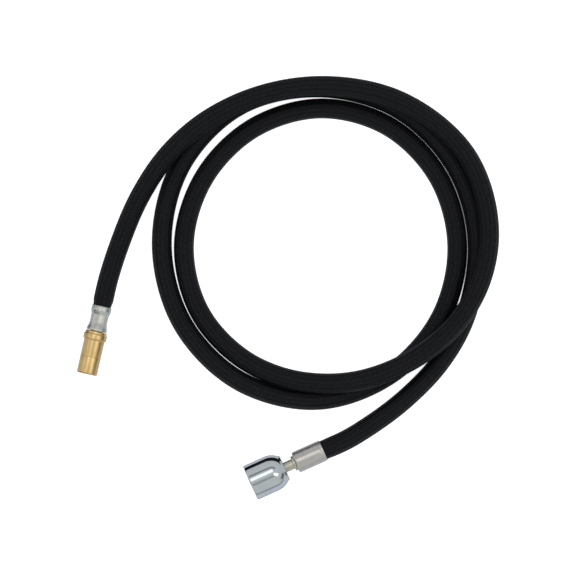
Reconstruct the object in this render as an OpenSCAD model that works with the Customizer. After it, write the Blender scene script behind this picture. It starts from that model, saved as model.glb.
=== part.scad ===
// Pull-out spray hose: about 1.8 m of braided hose laid in loops, with a free-running
// bell nut on its spray end and a swivelling push-in connector on its supply end.
// Millimetres. +Z is up and the hose lies on the plane Z = 0. The origin is on that
// plane, under the middle of the whole lay.
//
// Each fitting is drawn along its own local Z axis. Local Z = 0 is the ferrule's mouth,
// where the hose goes in, and local Z grows away from the hose.

/* [Hose] */
// Outside diameter of the braided hose
hose_d = 13; // [10.8:0.1:15.6]
// Thickness of the woven outer sleeve
braid_wall = 0.9; // [0.7:0.05:1.1]
// Bore of the inner liner, which carries the water
liner_bore = 8; // [6.6:0.1:9.6]

/* [Spray ferrule and stem] */
// Wall of both crimped ferrules
ferrule_wall = 0.5; // [0.4:0.05:0.6]
// Length of the spray-end ferrule
spray_ferrule_length = 20; // [16:0.5:24]
// Diameter of the collar that the spray ferrule closes against
stem_collar_d = 10; // [8.3:0.1:12]
// Thickness of that collar
stem_collar_thick = 1.5; // [1:0.1:2]
// Diameter of the stem's neck, on which the nut runs
neck_d = 6.8; // [6:0.1:8.2]
// Water way through the stem
stem_bore = 5; // [4:0.1:6]
// Thickness of the stem's head
stem_head_thick = 2; // [1.6:0.1:2.4]

/* [Bell nut] */
// Major diameter of the nut's thread, which is G 1/2
thread_major_d = 20.955; // [17.5:0.001:25.2]
// Pitch of that thread
thread_pitch = 1.814; // [1.5:0.001:2.2]
// Length of the thread
thread_length = 12; // [10:0.1:14.4]
// Wall of the nut outside the thread
nut_wall = 1.52; // [1.25:0.01:2.5]
// Length of the nut
nut_length = 24.6; // [20.5:0.1:29.6]
// Length of the straight outside, from the open rim
nut_straight = 15; // [12.5:0.1:18]
// How far the curved shoulder falls in from the straight outside
nut_shoulder_fall = 3.4; // [2.8:0.1:4.1]
// Rounding between the shoulder and the end face
nut_corner_r = 1.1; // [0.6:0.1:1.4]
// Solid end of the nut, behind the slip ring
nut_end_wall = 5.9; // [4.9:0.1:7.1]
// Free travel of the nut along the neck
nut_travel = 5.5; // [4.6:0.1:6.6]
// Thickness of the slip ring between the nut and the stem's head
slip_ring_thick = 1; // [0.8:0.1:1.2]
// Thickness of the sealing washer
washer_thick = 2; // [1.6:0.1:2.4]
// Hole in the sealing washer
washer_bore = 9; // [7.5:0.1:11]

/* [Supply ferrule and insert] */
// Length of the supply-end ferrule
supply_ferrule_length = 16.5; // [13.8:0.1:19.8]
// How much wider the ferrule's rolled lip is than the hose
ferrule_lip_over = 0.1; // [0:0.05:0.3]
// How much narrower the ferrule's crimped waist is than the hose
crimp_depth = 1.9; // [1.5:0.1:2.3]
// How much wider the ferrule's flared end is than the hose
ferrule_flare_over = 0.5; // [0.2:0.1:1]
// Open gap between the ferrule and the connector
connector_gap = 0.35; // [0.3:0.05:0.6]
// How far the connector's rear edge stands back over the neck
connector_rear_lip = 0.45; // [0.3:0.05:0.6]
// Water way through the insert
insert_bore = 4.4; // [3.6:0.1:5]
// Height of the insert's shoulder, which the retaining ring holds
journal_step = 1; // [0.8:0.05:1.2]
// Thickness of the two swivel O-rings
o_ring_cord = 1.3; // [1.1:0.05:1.5]

/* [Connector] */
// Outside diameter of the connector's body and nose
connector_d = 13.4; // [11.2:0.1:16.1]
// Wall of the connector's body round the swivel
body_wall = 1.45; // [1.3:0.05:1.75]
// Height of the latching collar over the body
collar_height = 0.9; // [0.7:0.05:1.2]
// Length of the latching collar
connector_collar_length = 5.4; // [4.5:0.1:6.5]
// Length of the connector's body, collar included
body_length = 16.5; // [13.8:0.1:19.8]
// Length of the connector's nose
nose_length = 11.5; // [9.6:0.1:13.8]
// Rounding of the nose's front edge
nose_round = 1.1; // [0.6:0.1:1.3]
// Lip of the nose in front of the check valve
nose_lip = 1.35; // [1.1:0.05:1.6]
// Depth of the retaining ring's seat in the body
snap_seat_depth = 0.75; // [0.6:0.05:0.9]
// Thickness of the retaining ring
snap_ring_thick = 0.8; // [0.7:0.05:1]

/* [Check valve] */
// Wall of the connector's spigot round the valve
spigot_wall = 0.65; // [0.5:0.05:0.8]
// Wall of the valve's housing
valve_wall = 1.5; // [1.25:0.05:1.8]
// Length of the valve's housing
valve_length = 10.4; // [8.7:0.1:12.5]
// Width of the valve's seat under the poppet's seal
seat_width = 0.4; // [0.3:0.05:0.6]
// How far the poppet opens
poppet_travel = 2; // [1.6:0.1:2.4]
// Wire of the valve's spring
spring_wire = 0.4; // [0.35:0.05:0.5]
// Turns of the valve's spring
spring_turns = 5; // [4:1:6]

/* [Hidden] */

// Gap between pieces that only stand beside each other
gap = 0.1;
// Radial clearance of a running fit
running = 0.05;
// Gap inside and outside an O-ring, which is drawn unsqueezed
seal_gap = 0.02;
// Sides of a full turn on the turned pieces
round_fn = 72;

// Lay of the hose, as rows of [angle, distance from the loops' middle, height]. The
// angle falls as the hose runs from the supply end round to the spray end.
loops_middle = [21.3, 28.6];
lay = [
    [180, 130.3, 6.8],
    [165, 121, 7.8],
    [150, 114.7, 14.5],
    [135, 109.5, 18.7],
    [120, 105.4, 19.7],
    [90, 102.5, 19.7],
    [60, 106.3, 19.1],
    [30, 111.2, 16],
    [0, 109.5, 17.7],
    [-15, 106.5, 19.4],
    [-30, 102.4, 19.4],
    [-45, 97.8, 19.2],
    [-60, 94.2, 19.7],
    [-75, 92, 18],
    [-90, 90.5, 14.3],
    [-105, 90, 10.6],
    [-120, 90, 7.4],
    [-150, 89.9, 6.5],
    [-180, 88.5, 6.5],
    [-210, 86.9, 6.5],
    [-240, 87, 6.5],
    [-270, 88.2, 6.5],
    [-300, 88.6, 6.5],
    [-330, 88.5, 6.5],
    [-360, 89.3, 6.5],
    [-390, 91.8, 6.5],
    [-420, 95.9, 6.5],
    [-450, 101.3, 6.5],
    [-480, 103.3, 6.5],
    [-510, 103.3, 6.5],
    [-540, 102.9, 6.5],
    [-570, 104, 6.5],
    [-600, 104.3, 6.5],
    [-630, 101.8, 6.5],
    [-660, 101.8, 6.5],
    [-690, 101.7, 6.5],
    [-720, 102.5, 6.5],
    [-735, 103.6, 6.5],
    [-750, 106.4, 6.5],
    [-765, 109.7, 7],
    [-780, 114.4, 8.9],
    [-795, 122.6, 11.2]
];
// Straight run of the hose outside each ferrule
exit_run = 16;
// Longest stretch of hose between two rings
ring_step = 33;
hose_sides = 12;
// Radius lost between a many-sided pipe's corners and its flats
flat_share = cos(180 / hose_sides);

// Outsides that the two ends lie on
nut_r = thread_major_d / 2 + nut_wall;
connector_r = connector_d / 2;
collar_r = connector_r + collar_height;

// Where each ferrule's mouth is, and the heading away from the hose
spray_mouth = [23.5, -105.4, nut_r];
spray_heading = 204.2;
supply_mouth = [-120.4, -11.8, collar_r];
supply_heading = 257.25;

// The hose in the supply crimp
crimp_squeeze = 0.7;
liner_wall = hose_d / 2 - braid_wall - gap - liner_bore / 2;
lip_r = (hose_d + ferrule_lip_over) / 2;
waist_r = (hose_d - crimp_depth) / 2;
flare_r = (hose_d + ferrule_flare_over) / 2;
waist_bore_r = waist_r - ferrule_wall;
lip_bore_r = lip_r - ferrule_wall;
crimped_r = waist_bore_r - running;
crimped_liner_r = crimped_r - crimp_squeeze * (braid_wall + liner_wall) - gap;
insert_tail_r = crimped_liner_r * flat_share - running;
stem_tail_r = liner_bore / 2 * flat_share - running;

// Stations of the spray end, along its local Z
spray_ferrule_r = hose_d / 2 + gap + ferrule_wall;
ferrule_end_wall = 0.6;
hook_depth = 1;
shoulder_thick = 1.4;
stem_shoulder_z = spray_ferrule_length - ferrule_end_wall - gap - shoulder_thick;
stem_shoulder_r = hose_d / 2 - braid_wall - 0.6;
spray_hose_end_z = stem_shoulder_z - gap;
collar_top_z = spray_ferrule_length + gap + stem_collar_thick;
nut_back_z = collar_top_z + nut_travel + 4 * gap;
nut_front_z = nut_back_z + nut_length;
slip_ring_z = nut_back_z + nut_end_wall + gap;
stem_head_z = slip_ring_z + slip_ring_thick + gap;
washer_z = stem_head_z + stem_head_thick;
rim_chamfer = 1;
thread_z = nut_front_z - rim_chamfer - thread_length;
// An ISO 228 thread is 0.640327 pitches deep; the bore here is its minor diameter
thread_r = thread_major_d / 2 - 0.640327 * thread_pitch;
nut_cavity_r = thread_r + 0.26;
slip_ring_r = nut_cavity_r - 0.3;
washer_r = thread_r - gap;
stem_head_r = thread_r - 0.3;

// Stations of the supply end, along its local Z
supply_hose_end_z = supply_ferrule_length - 3;
insert_shoulder_z = supply_ferrule_length - ferrule_end_wall - gap - shoulder_thick;
neck_hook = 0.6;
body_z = supply_ferrule_length + connector_gap + connector_rear_lip;
nose_z = body_z + body_length;
nose_front_z = nose_z + nose_length;
snap_ring_z = body_z + 2;
journal_z = snap_ring_z + snap_ring_thick + gap;
body_bore_r = connector_r - body_wall;
journal_r = body_bore_r - running;
insert_neck_r = journal_r - journal_step;
snap_seat_r = body_bore_r + snap_seat_depth;
spigot_r = body_bore_r - running;
valve_pocket_r = spigot_r - spigot_wall;
valve_r = valve_pocket_r - running;
valve_bore_r = valve_r - valve_wall;
groove_width = o_ring_cord + 0.4;
o_ring_r = body_bore_r - o_ring_cord / 2 - seal_gap;
rear_o_ring_z = journal_z + 1.2 + groove_width / 2;
front_o_ring_z = rear_o_ring_z + groove_width + 1.2;
journal_end_z = front_o_ring_z + groove_width / 2 + 1.2;
spigot_length = nose_z - journal_end_z - 2 * gap;

// Stations of the check valve. It opens towards the hose.
valve_front_z = nose_front_z - 1.4;
valve_back_z = valve_front_z - valve_length;
seat_thick = 1.2;
seat_z = valve_front_z - seat_thick;
face_seal_thick = 0.5;
poppet_head_thick = 1.1;
poppet_head_z = seat_z - face_seal_thick - poppet_head_thick;
guide_thick = 1.2;
guide_z = valve_back_z + 0.3;
poppet_head_r = valve_bore_r - 0.4;
face_seal_r = poppet_head_r - 0.1;
seat_bore_r = face_seal_r - seat_width;
poppet_stem_r = 0.7;
spring_back_z = guide_z + guide_thick;
spring_front_z = poppet_head_z;
spring_r = poppet_head_r - 0.3 - spring_wire / 2;
valve_groove_z = valve_front_z - 4.4;
valve_cord = 1;
valve_o_ring_r = valve_pocket_r - valve_cord / 2 - seal_gap;

// ---- Route of the hose ----

function heading_vector(heading) = [cos(heading), sin(heading), 0];
function lay_point(row) = [
    loops_middle[0] + row[1] * cos(row[0]),
    loops_middle[1] + row[1] * sin(row[0]),
    row[2]
];
function unit(v) = v / norm(v);

supply_out = heading_vector(supply_heading);
spray_out = heading_vector(spray_heading);
knots = concat(
    [supply_mouth, supply_mouth - exit_run * supply_out],
    [for (row = lay) lay_point(row)],
    [spray_mouth - exit_run * spray_out, spray_mouth]
);
last_knot = len(knots) - 1;

// Direction of the route at a knot: the parabola through it and its neighbours
function chord(i) = knots[i + 1] - knots[i];
function inner_slope(i) =
    let (before = norm(chord(i - 1)), after = norm(chord(i)))
    (after * chord(i - 1) / before + before * chord(i) / after) / (before + after);
function slope(i) = i == 0 ? -supply_out : i == last_knot ? spray_out : inner_slope(i);

// A point and a direction on the smooth curve between knots i and i + 1
function curve_point(i, t) =
    let (reach = norm(chord(i)))
    (2 * pow(t, 3) - 3 * pow(t, 2) + 1) * knots[i]
    + (pow(t, 3) - 2 * pow(t, 2) + t) * reach * slope(i)
    + (3 * pow(t, 2) - 2 * pow(t, 3)) * knots[i + 1]
    + (pow(t, 3) - pow(t, 2)) * reach * slope(i + 1);
function curve_slope(i, t) =
    let (reach = norm(chord(i)))
    unit(
        (6 * pow(t, 2) - 6 * t) * (knots[i] - knots[i + 1]) / reach
        + (3 * pow(t, 2) - 4 * t + 1) * slope(i)
        + (3 * pow(t, 2) - 2 * t) * slope(i + 1)
    );

// Rings along the hose, as [place, direction, outer radius, squeeze of the walls]
function steps(i) = ceil(norm(chord(i)) / ring_step);
function in_supply(z, r, squeeze) = [supply_mouth + z * supply_out, -supply_out, r, squeeze];
function in_spray(z) = [spray_mouth + z * spray_out, spray_out, hose_d / 2, 1];
rings = concat(
    [
        in_supply(supply_hose_end_z, crimped_r, crimp_squeeze),
        in_supply(supply_hose_end_z - 4, crimped_r, crimp_squeeze),
        in_supply(2, lip_bore_r - running, 0.9),
        in_supply(0, lip_bore_r - running, 0.9),
        in_supply(-4, hose_d / 2, 1)
    ],
    [
        for (i = [0:last_knot - 1])
            for (k = [(i == 0 ? 1 : 0):1:steps(i) - 1])
                [curve_point(i, k / steps(i)), curve_slope(i, k / steps(i)), hose_d / 2, 1]
    ],
    [in_spray(0), in_spray(spray_hose_end_z)]
);

// Radii of the sleeve and the liner at a ring
function braid_outer(ring) = ring[2];
function braid_inner(ring) = ring[2] - ring[3] * braid_wall;
function liner_outer(ring) = braid_inner(ring) - gap;
function liner_inner(ring) = liner_outer(ring) - ring[3] * liner_wall;

// ---- Shared shapes ----

// Corner s of a ring, at radius r
function ring_corner(ring, r, s) =
    let (side = unit(cross([0, 0, 1], ring[1])), up = cross(ring[1], side))
    let (turn = (s + 0.5) * 360 / hose_sides)
    ring[0] + r * (cos(turn) * side + sin(turn) * up);

// A closed pipe along the rings, between a list of outer and a list of inner radii
module pipe(outer_r, inner_r) {
    count = len(rings);
    points = [
        for (radii = [outer_r, inner_r])
            for (k = [0:count - 1])
                for (s = [0:hose_sides - 1])
                    ring_corner(rings[k], radii[k], s)
    ];
    // Index of corner s of ring k, on the outside (wall 0) or the inside (wall 1)
    function at(wall, k, s) = (wall * count + k) * hose_sides + s % hose_sides;
    sides = [
        for (wall = [0, 1])
            for (k = [0:count - 2])
                for (s = [0:hose_sides - 1])
                    for (half = [0, 1])
                        let (here = at(wall, k, s), beside = at(wall, k, s + 1))
                        let (ahead = at(wall, k + 1, s), across = at(wall, k + 1, s + 1))
                        let (corner = half == 0 ? [here, beside, across] : [here, across, ahead])
                        wall == 0 ? corner : [corner[2], corner[1], corner[0]]
    ];
    ends = [
        for (k = [0, count - 1])
            for (s = [0:hose_sides - 1])
                for (half = [0, 1])
                    let (outer = at(0, k, s), outer_next = at(0, k, s + 1))
                    let (inner = at(1, k, s), inner_next = at(1, k, s + 1))
                    let (corner = half == 0 ? [outer, inner, inner_next] : [outer, inner_next, outer_next])
                    k == 0 ? corner : [corner[2], corner[1], corner[0]]
    ];
    polyhedron(points, concat(sides, ends), convexity = 10);
}

// Places what follows at the mouth of a ferrule, with local Z away from the hose
module at_mouth(mouth, heading) {
    translate(mouth)
        rotate([0, 0, heading])
            rotate([0, 90, 0])
                children();
}

module at_spray_end() {
    at_mouth(spray_mouth, spray_heading) children();
}

module at_supply_end() {
    at_mouth(supply_mouth, supply_heading) children();
}

// A solid of revolution from its half outline, as [radius, z] points
module turned(outline) {
    rotate_extrude($fn = round_fn) polygon(outline);
}

// A plain ring from z, with an outside radius, a hole radius and a thickness
module disc_ring(z, outer_r, hole_r, thick) {
    turned([[hole_r, z], [outer_r, z], [outer_r, z + thick], [hole_r, z + thick]]);
}

// An O-ring with its cord centred at radius r and height z
module o_ring(z, r, cord) {
    translate([0, 0, z])
        rotate_extrude($fn = round_fn)
            translate([r, 0])
                circle(d = cord, $fn = 32);
}

// Points on an arc, from one angle to another
function arc(centre, r, from, to, count) = [
    for (k = [0:count])
        let (turn = from + (to - from) * k / count)
        [centre[0] + r * cos(turn), centre[1] + r * sin(turn)]
];

// ---- Hose ----

module outer_braid() {
    color([0.12, 0.12, 0.13])
        pipe([for (ring = rings) braid_outer(ring)], [for (ring = rings) braid_inner(ring)]);
}

module inner_liner() {
    color([0.85, 0.87, 0.88])
        pipe([for (ring = rings) liner_outer(ring)], [for (ring = rings) liner_inner(ring)]);
}

// ---- Spray end ----

module spray_ferrule() {
    r = spray_ferrule_r;
    round_r = 1.4;
    end_z = spray_ferrule_length;
    hook_r = stem_collar_d / 2 - hook_depth + running;
    color([0.72, 0.71, 0.69])
        at_spray_end()
            turned(concat(
                [[r - ferrule_wall, 0], [r - 0.2, 0], [r, 0.4], [r, end_z - round_r]],
                arc([r - round_r, end_z - round_r], round_r, 15, 90, 5),
                [
                    [hook_r, end_z],
                    [hook_r, end_z - ferrule_end_wall],
                    [r - round_r, end_z - ferrule_end_wall],
                    [r - ferrule_wall, end_z - round_r]
                ]
            ));
}

// Head, neck, collar, hook groove, shoulder and barbed tail, bored through
module spray_stem() {
    stem_collar_r = stem_collar_d / 2;
    groove_r = stem_collar_r - hook_depth;
    groove_z = collar_top_z - stem_collar_thick;
    tail_z = 2;
    barb = 0.35;
    barbs = 4;
    barb_pitch = (stem_shoulder_z - tail_z) / barbs;
    top_z = stem_head_z + stem_head_thick;
    color([0.82, 0.79, 0.72])
        at_spray_end()
            turned(concat(
                [[stem_bore / 2, tail_z]],
                [
                    for (k = [0:barbs - 1])
                        for (tooth = [[stem_tail_r - barb, 0], [stem_tail_r, barb_pitch - 0.4]])
                            [tooth[0], tail_z + k * barb_pitch + tooth[1]]
                ],
                [
                    [stem_tail_r, stem_shoulder_z],
                    [stem_shoulder_r, stem_shoulder_z],
                    [stem_shoulder_r, stem_shoulder_z + shoulder_thick],
                    [groove_r, stem_shoulder_z + shoulder_thick],
                    [groove_r, groove_z],
                    [stem_collar_r, groove_z],
                    [stem_collar_r, collar_top_z - 0.3],
                    [stem_collar_r - 0.3, collar_top_z],
                    [neck_d / 2, collar_top_z],
                    [neck_d / 2, stem_head_z],
                    [stem_head_r, stem_head_z],
                    [stem_head_r, top_z],
                    [stem_bore / 2, top_z]
                ]
            ));
}

module spray_washer() {
    color([0.1, 0.1, 0.1])
        at_spray_end()
            disc_ring(washer_z, washer_r, washer_bore / 2, washer_thick);
}

module nut_slip_ring() {
    color([0.93, 0.93, 0.9])
        at_spray_end()
            disc_ring(slip_ring_z, slip_ring_r, neck_d / 2 + running, slip_ring_thick);
}

// Bell nut: straight skirt, curved shoulder and flat end, with the neck's hole
module swivel_nut() {
    fall = nut_shoulder_fall;
    straight_z = nut_front_z - nut_straight;
    shoulder_z = nut_back_z + nut_corner_r;
    rise = straight_z - shoulder_z;
    curve_r = (pow(fall, 2) + pow(rise, 2)) / (2 * fall);
    curve_end = asin(rise / curve_r);
    corner_x = nut_r - fall - nut_corner_r * cos(curve_end);
    hole_r = neck_d / 2 + 0.25;
    relief_z = thread_z - (nut_cavity_r - thread_r);
    seat_z = nut_back_z + nut_end_wall;
    color([0.8, 0.82, 0.85])
        at_spray_end()
            turned(concat(
                [[hole_r, nut_back_z + 0.3], [hole_r + 0.3, nut_back_z]],
                arc([corner_x, shoulder_z], nut_corner_r, -90, -curve_end, 5),
                arc([nut_r - curve_r, straight_z], curve_r, -curve_end, 0, 8),
                [
                    [nut_r, nut_front_z - 0.4],
                    [nut_r - 0.4, nut_front_z],
                    [thread_r + rim_chamfer, nut_front_z],
                    [thread_r, nut_front_z - rim_chamfer],
                    [thread_r, thread_z],
                    [nut_cavity_r, relief_z],
                    [nut_cavity_r, seat_z],
                    [hole_r, seat_z]
                ]
            ));
}

// ---- Supply end ----

// Rolled lip, crimped waist and flared end, closed on to the insert's hook groove
module supply_ferrule() {
    end_z = supply_ferrule_length;
    waist_z = end_z - 5.5;
    hook_r = insert_neck_r - neck_hook + running;
    inside = [[0, lip_r], [2.5, lip_r], [waist_z - 1, waist_r], [waist_z + 1, waist_r], [end_z - 1, flare_r]];
    color([0.66, 0.66, 0.66])
        at_supply_end()
            turned(concat(
                [[lip_r - 0.2, 0], [lip_r, 0.6], [lip_r, 2]],
                [[lip_r - 0.4, 3.6], [waist_r, waist_z - 1], [waist_r, waist_z + 1]],
                [[flare_r, end_z - 0.6], [flare_r - 0.2, end_z]],
                [[hook_r, end_z], [hook_r, end_z - ferrule_end_wall]],
                [
                    for (k = [len(inside) - 1:-1:0])
                        [inside[k][1] - ferrule_wall, min(inside[k][0], end_z - ferrule_end_wall)]
                ]
            ));
}

// Journal with two O-ring grooves, neck, hook groove, shoulder and barbed tail
module supply_insert() {
    neck_r = insert_neck_r;
    hook_groove_r = neck_r - neck_hook;
    groove_r = o_ring_r - o_ring_cord / 2 - seal_gap;
    tail_z = 1;
    barb = 0.25;
    barbs = 3;
    barb_pitch = (insert_shoulder_z - tail_z) / barbs;
    color([0.8, 0.64, 0.32])
        at_supply_end()
            turned(concat(
                [[insert_bore / 2, tail_z]],
                [
                    for (k = [0:barbs - 1])
                        for (tooth = [[insert_tail_r - barb, 0], [insert_tail_r, barb_pitch - 0.4]])
                            [tooth[0], tail_z + k * barb_pitch + tooth[1]]
                ],
                [
                    [insert_tail_r, insert_shoulder_z],
                    [neck_r, insert_shoulder_z],
                    [neck_r, insert_shoulder_z + shoulder_thick],
                    [hook_groove_r, insert_shoulder_z + shoulder_thick],
                    [hook_groove_r, supply_ferrule_length + gap],
                    [neck_r, supply_ferrule_length + gap],
                    [neck_r, journal_z],
                    [journal_r, journal_z]
                ],
                [
                    for (z = [rear_o_ring_z, front_o_ring_z])
                        for (corner = [[journal_r, -1], [groove_r, -1], [groove_r, 1], [journal_r, 1]])
                            [corner[0], z + corner[1] * groove_width / 2]
                ],
                [[journal_r, journal_end_z], [insert_bore / 2, journal_end_z]]
            ));
}

module swivel_o_ring_rear() {
    color([0.08, 0.08, 0.08])
        at_supply_end()
            o_ring(rear_o_ring_z, o_ring_r, o_ring_cord);
}

module swivel_o_ring_front() {
    color([0.08, 0.08, 0.08])
        at_supply_end()
            o_ring(front_o_ring_z, o_ring_r, o_ring_cord);
}

// Split ring that holds the journal inside the connector
module swivel_snap_ring() {
    outer_r = snap_seat_r - running;
    hole_r = insert_neck_r + 2 * gap;
    split = 2.5;
    color([0.6, 0.6, 0.62])
        at_supply_end()
            difference() {
                disc_ring(snap_ring_z, outer_r, hole_r, snap_ring_thick);
                translate([0, -split / 2, snap_ring_z - 1])
                    cube([2 * outer_r, split, snap_ring_thick + 2]);
            }
}

// Rear half of the connector, with the latching collar and the swivel's bore
module connector_body() {
    round_r = 1;
    mouth_r = journal_r + 0.3;
    rear_z = body_z - connector_rear_lip;
    collar_end_z = body_z + connector_collar_length;
    color([0.83, 0.68, 0.38])
        at_supply_end()
            turned(concat(
                [[mouth_r, rear_z], [collar_r - 0.65 * round_r - 0.3, rear_z], [collar_r - 0.65 * round_r, rear_z + 0.3]],
                arc([collar_r - round_r, body_z + 2 * round_r], round_r, -60, 0, 4),
                arc([collar_r - round_r, collar_end_z - round_r], round_r, 0, 60, 4),
                [
                    [connector_r, collar_end_z],
                    [connector_r, nose_z],
                    [body_bore_r, nose_z],
                    [body_bore_r, snap_ring_z + snap_ring_thick + running],
                    [snap_seat_r, snap_ring_z + snap_ring_thick + running],
                    [snap_seat_r, snap_ring_z - running],
                    [mouth_r, snap_ring_z - running]
                ]
            ));
}

// Front half of the connector: rounded nose outside, valve pocket and spigot inside
module connector_nose() {
    r = connector_r;
    lip_hole_r = valve_pocket_r - nose_lip;
    seam = 0.15;
    color([0.83, 0.68, 0.38])
        at_supply_end()
            turned(concat(
                [
                    [valve_pocket_r, nose_z - spigot_length],
                    [spigot_r, nose_z - spigot_length],
                    [spigot_r, nose_z],
                    [r - seam, nose_z],
                    [r, nose_z + seam]
                ],
                arc([r - nose_round, nose_front_z - nose_round], nose_round, 0, 90, 6),
                [
                    [lip_hole_r + 0.4, nose_front_z],
                    [lip_hole_r, nose_front_z - 0.4],
                    [lip_hole_r, valve_front_z + gap],
                    [valve_pocket_r, valve_front_z + gap]
                ]
            ));
}

// ---- Check valve, which lets water through towards the hose only ----

module check_valve_housing() {
    r = valve_r;
    groove_r = valve_o_ring_r - valve_cord / 2 - seal_gap;
    half_groove = valve_cord / 2 + 0.15;
    color([0.2, 0.45, 0.75])
        at_supply_end()
            turned([
                [valve_bore_r, valve_back_z],
                [r, valve_back_z],
                [r, valve_groove_z - half_groove],
                [groove_r, valve_groove_z - half_groove],
                [groove_r, valve_groove_z + half_groove],
                [r, valve_groove_z + half_groove],
                [r, valve_front_z],
                [seat_bore_r, valve_front_z],
                [seat_bore_r, seat_z],
                [valve_bore_r, seat_z]
            ]);
}

module check_valve_o_ring() {
    color([0.08, 0.08, 0.08])
        at_supply_end()
            o_ring(valve_groove_z, valve_o_ring_r, valve_cord);
}

module check_valve_poppet() {
    color([0.9, 0.9, 0.86])
        at_supply_end()
            turned([
                [0, guide_z - 0.4],
                [poppet_stem_r, guide_z - 0.4],
                [poppet_stem_r, poppet_head_z],
                [poppet_head_r, poppet_head_z],
                [poppet_head_r, poppet_head_z + poppet_head_thick],
                [0, poppet_head_z + poppet_head_thick]
            ]);
}

// Flat rubber disc on the poppet's face, which closes the seat
module check_valve_face_seal() {
    color([0.15, 0.15, 0.15])
        at_supply_end()
            translate([0, 0, poppet_head_z + poppet_head_thick])
                cylinder(r = face_seal_r, h = face_seal_thick, $fn = round_fn);
}

// Corner s of the spring wire's section at step k
function wire_corner(k, s, steps_in_all, length) =
    let (turn = 360 * spring_turns * k / steps_in_all)
    let (across = spring_wire / 2 * cos(60 * s))
    let (z = spring_wire / 2 + (length - spring_wire) * k / steps_in_all)
    [(spring_r + across) * cos(turn), (spring_r + across) * sin(turn), z + spring_wire / 2 * sin(60 * s)];

module check_valve_spring() {
    length = spring_front_z - spring_back_z - gap;
    count = spring_turns * 16;
    sides = 6;
    points = [for (k = [0:count]) for (s = [0:sides - 1]) wire_corner(k, s, count, length)];
    faces = concat(
        [
            for (k = [0:count - 1])
                for (s = [0:sides - 1])
                    for (half = [0, 1])
                        let (here = k * sides + s, beside = k * sides + (s + 1) % sides)
                        half == 0 ? [here, beside, beside + sides] : [here, beside + sides, here + sides]
        ],
        [[for (s = [sides - 1:-1:0]) s], [for (s = [0:sides - 1]) count * sides + s]]
    );
    color([0.75, 0.76, 0.78])
        at_supply_end()
            translate([0, 0, spring_back_z + gap / 2])
                polyhedron(points, faces, convexity = 6);
}

// Spoked disc that guides the poppet's stem and holds the spring
module check_valve_guide() {
    rim_r = valve_bore_r - running;
    hub_r = poppet_stem_r + running + 0.6;
    spoke = 0.9;
    color([0.9, 0.9, 0.86])
        at_supply_end()
            difference() {
                union() {
                    disc_ring(guide_z, rim_r, rim_r - 0.7, guide_thick);
                    translate([0, 0, guide_z])
                        cylinder(r = hub_r, h = guide_thick, $fn = round_fn);
                    for (turn = [0, 120, 240])
                        rotate([0, 0, turn])
                            translate([0, -spoke / 2, guide_z])
                                cube([rim_r - 0.3, spoke, guide_thick]);
                }
                translate([0, 0, guide_z - 1])
                    cylinder(r = poppet_stem_r + running, h = guide_thick + 2, $fn = round_fn);
            }
}

outer_braid();
inner_liner();
spray_ferrule();
spray_stem();
spray_washer();
nut_slip_ring();
swivel_nut();
supply_ferrule();
supply_insert();
swivel_o_ring_front();
swivel_o_ring_rear();
swivel_snap_ring();
connector_body();
connector_nose();
check_valve_housing();
check_valve_o_ring();
check_valve_poppet();
check_valve_face_seal();
check_valve_spring();
check_valve_guide();
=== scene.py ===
"""Looks of a pull-out spray hose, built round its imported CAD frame.

The hose lies in loops on a pale table. Each sub-assembly is a class: the hose with its
route and woven sleeve, the spray end, the bell nut, the supply end, the swivelling
connector and the check valve inside it. Sizes are in millimetres in the classes and in
metres in Blender, in the frame of the CAD model.
"""

import logging
import math
from collections.abc import Sequence
from dataclasses import dataclass
from enum import Enum
from typing import Any

import bpy
import numpy as np
from mathutils import Matrix, Vector


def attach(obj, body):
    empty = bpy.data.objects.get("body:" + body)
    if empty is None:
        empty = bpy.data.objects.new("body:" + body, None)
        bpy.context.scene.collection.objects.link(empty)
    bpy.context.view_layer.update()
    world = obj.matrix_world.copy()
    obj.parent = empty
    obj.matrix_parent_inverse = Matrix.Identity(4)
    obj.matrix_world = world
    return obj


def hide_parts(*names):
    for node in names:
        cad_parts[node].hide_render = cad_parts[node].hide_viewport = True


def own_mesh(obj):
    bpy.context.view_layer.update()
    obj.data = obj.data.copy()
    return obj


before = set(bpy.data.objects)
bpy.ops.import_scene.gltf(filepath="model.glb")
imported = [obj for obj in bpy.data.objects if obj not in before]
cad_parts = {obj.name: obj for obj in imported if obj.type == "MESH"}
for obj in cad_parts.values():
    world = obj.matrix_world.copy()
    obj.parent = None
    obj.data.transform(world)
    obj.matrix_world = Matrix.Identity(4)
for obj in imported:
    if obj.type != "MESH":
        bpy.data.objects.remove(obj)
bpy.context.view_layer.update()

MM = 0.001
MM_PER_M = 1000.0
SHARP_ANGLE = math.radians(38)

log = logging.getLogger("spray_hose")

Outline = list[tuple[float, float]]
Corners = list[tuple[float, float] | tuple[float, float, float]]
Colour = tuple[float, float, float, float]


# ---- Small helpers -------------------------------------------------------------------


def srgb(code: str) -> Colour:
    """Turns an sRGB hex colour into Blender's linear colour.

    Args:
        code: Six hex digits, with or without a leading hash.

    Returns:
        Linear red, green, blue and an alpha of one.
    """
    parts = [int(code.lstrip("#")[k : k + 2], 16) / 255 for k in (0, 2, 4)]
    linear = [p / 12.92 if p <= 0.04045 else ((p + 0.055) / 1.055) ** 2.4 for p in parts]
    return (linear[0], linear[1], linear[2], 1.0)


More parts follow.
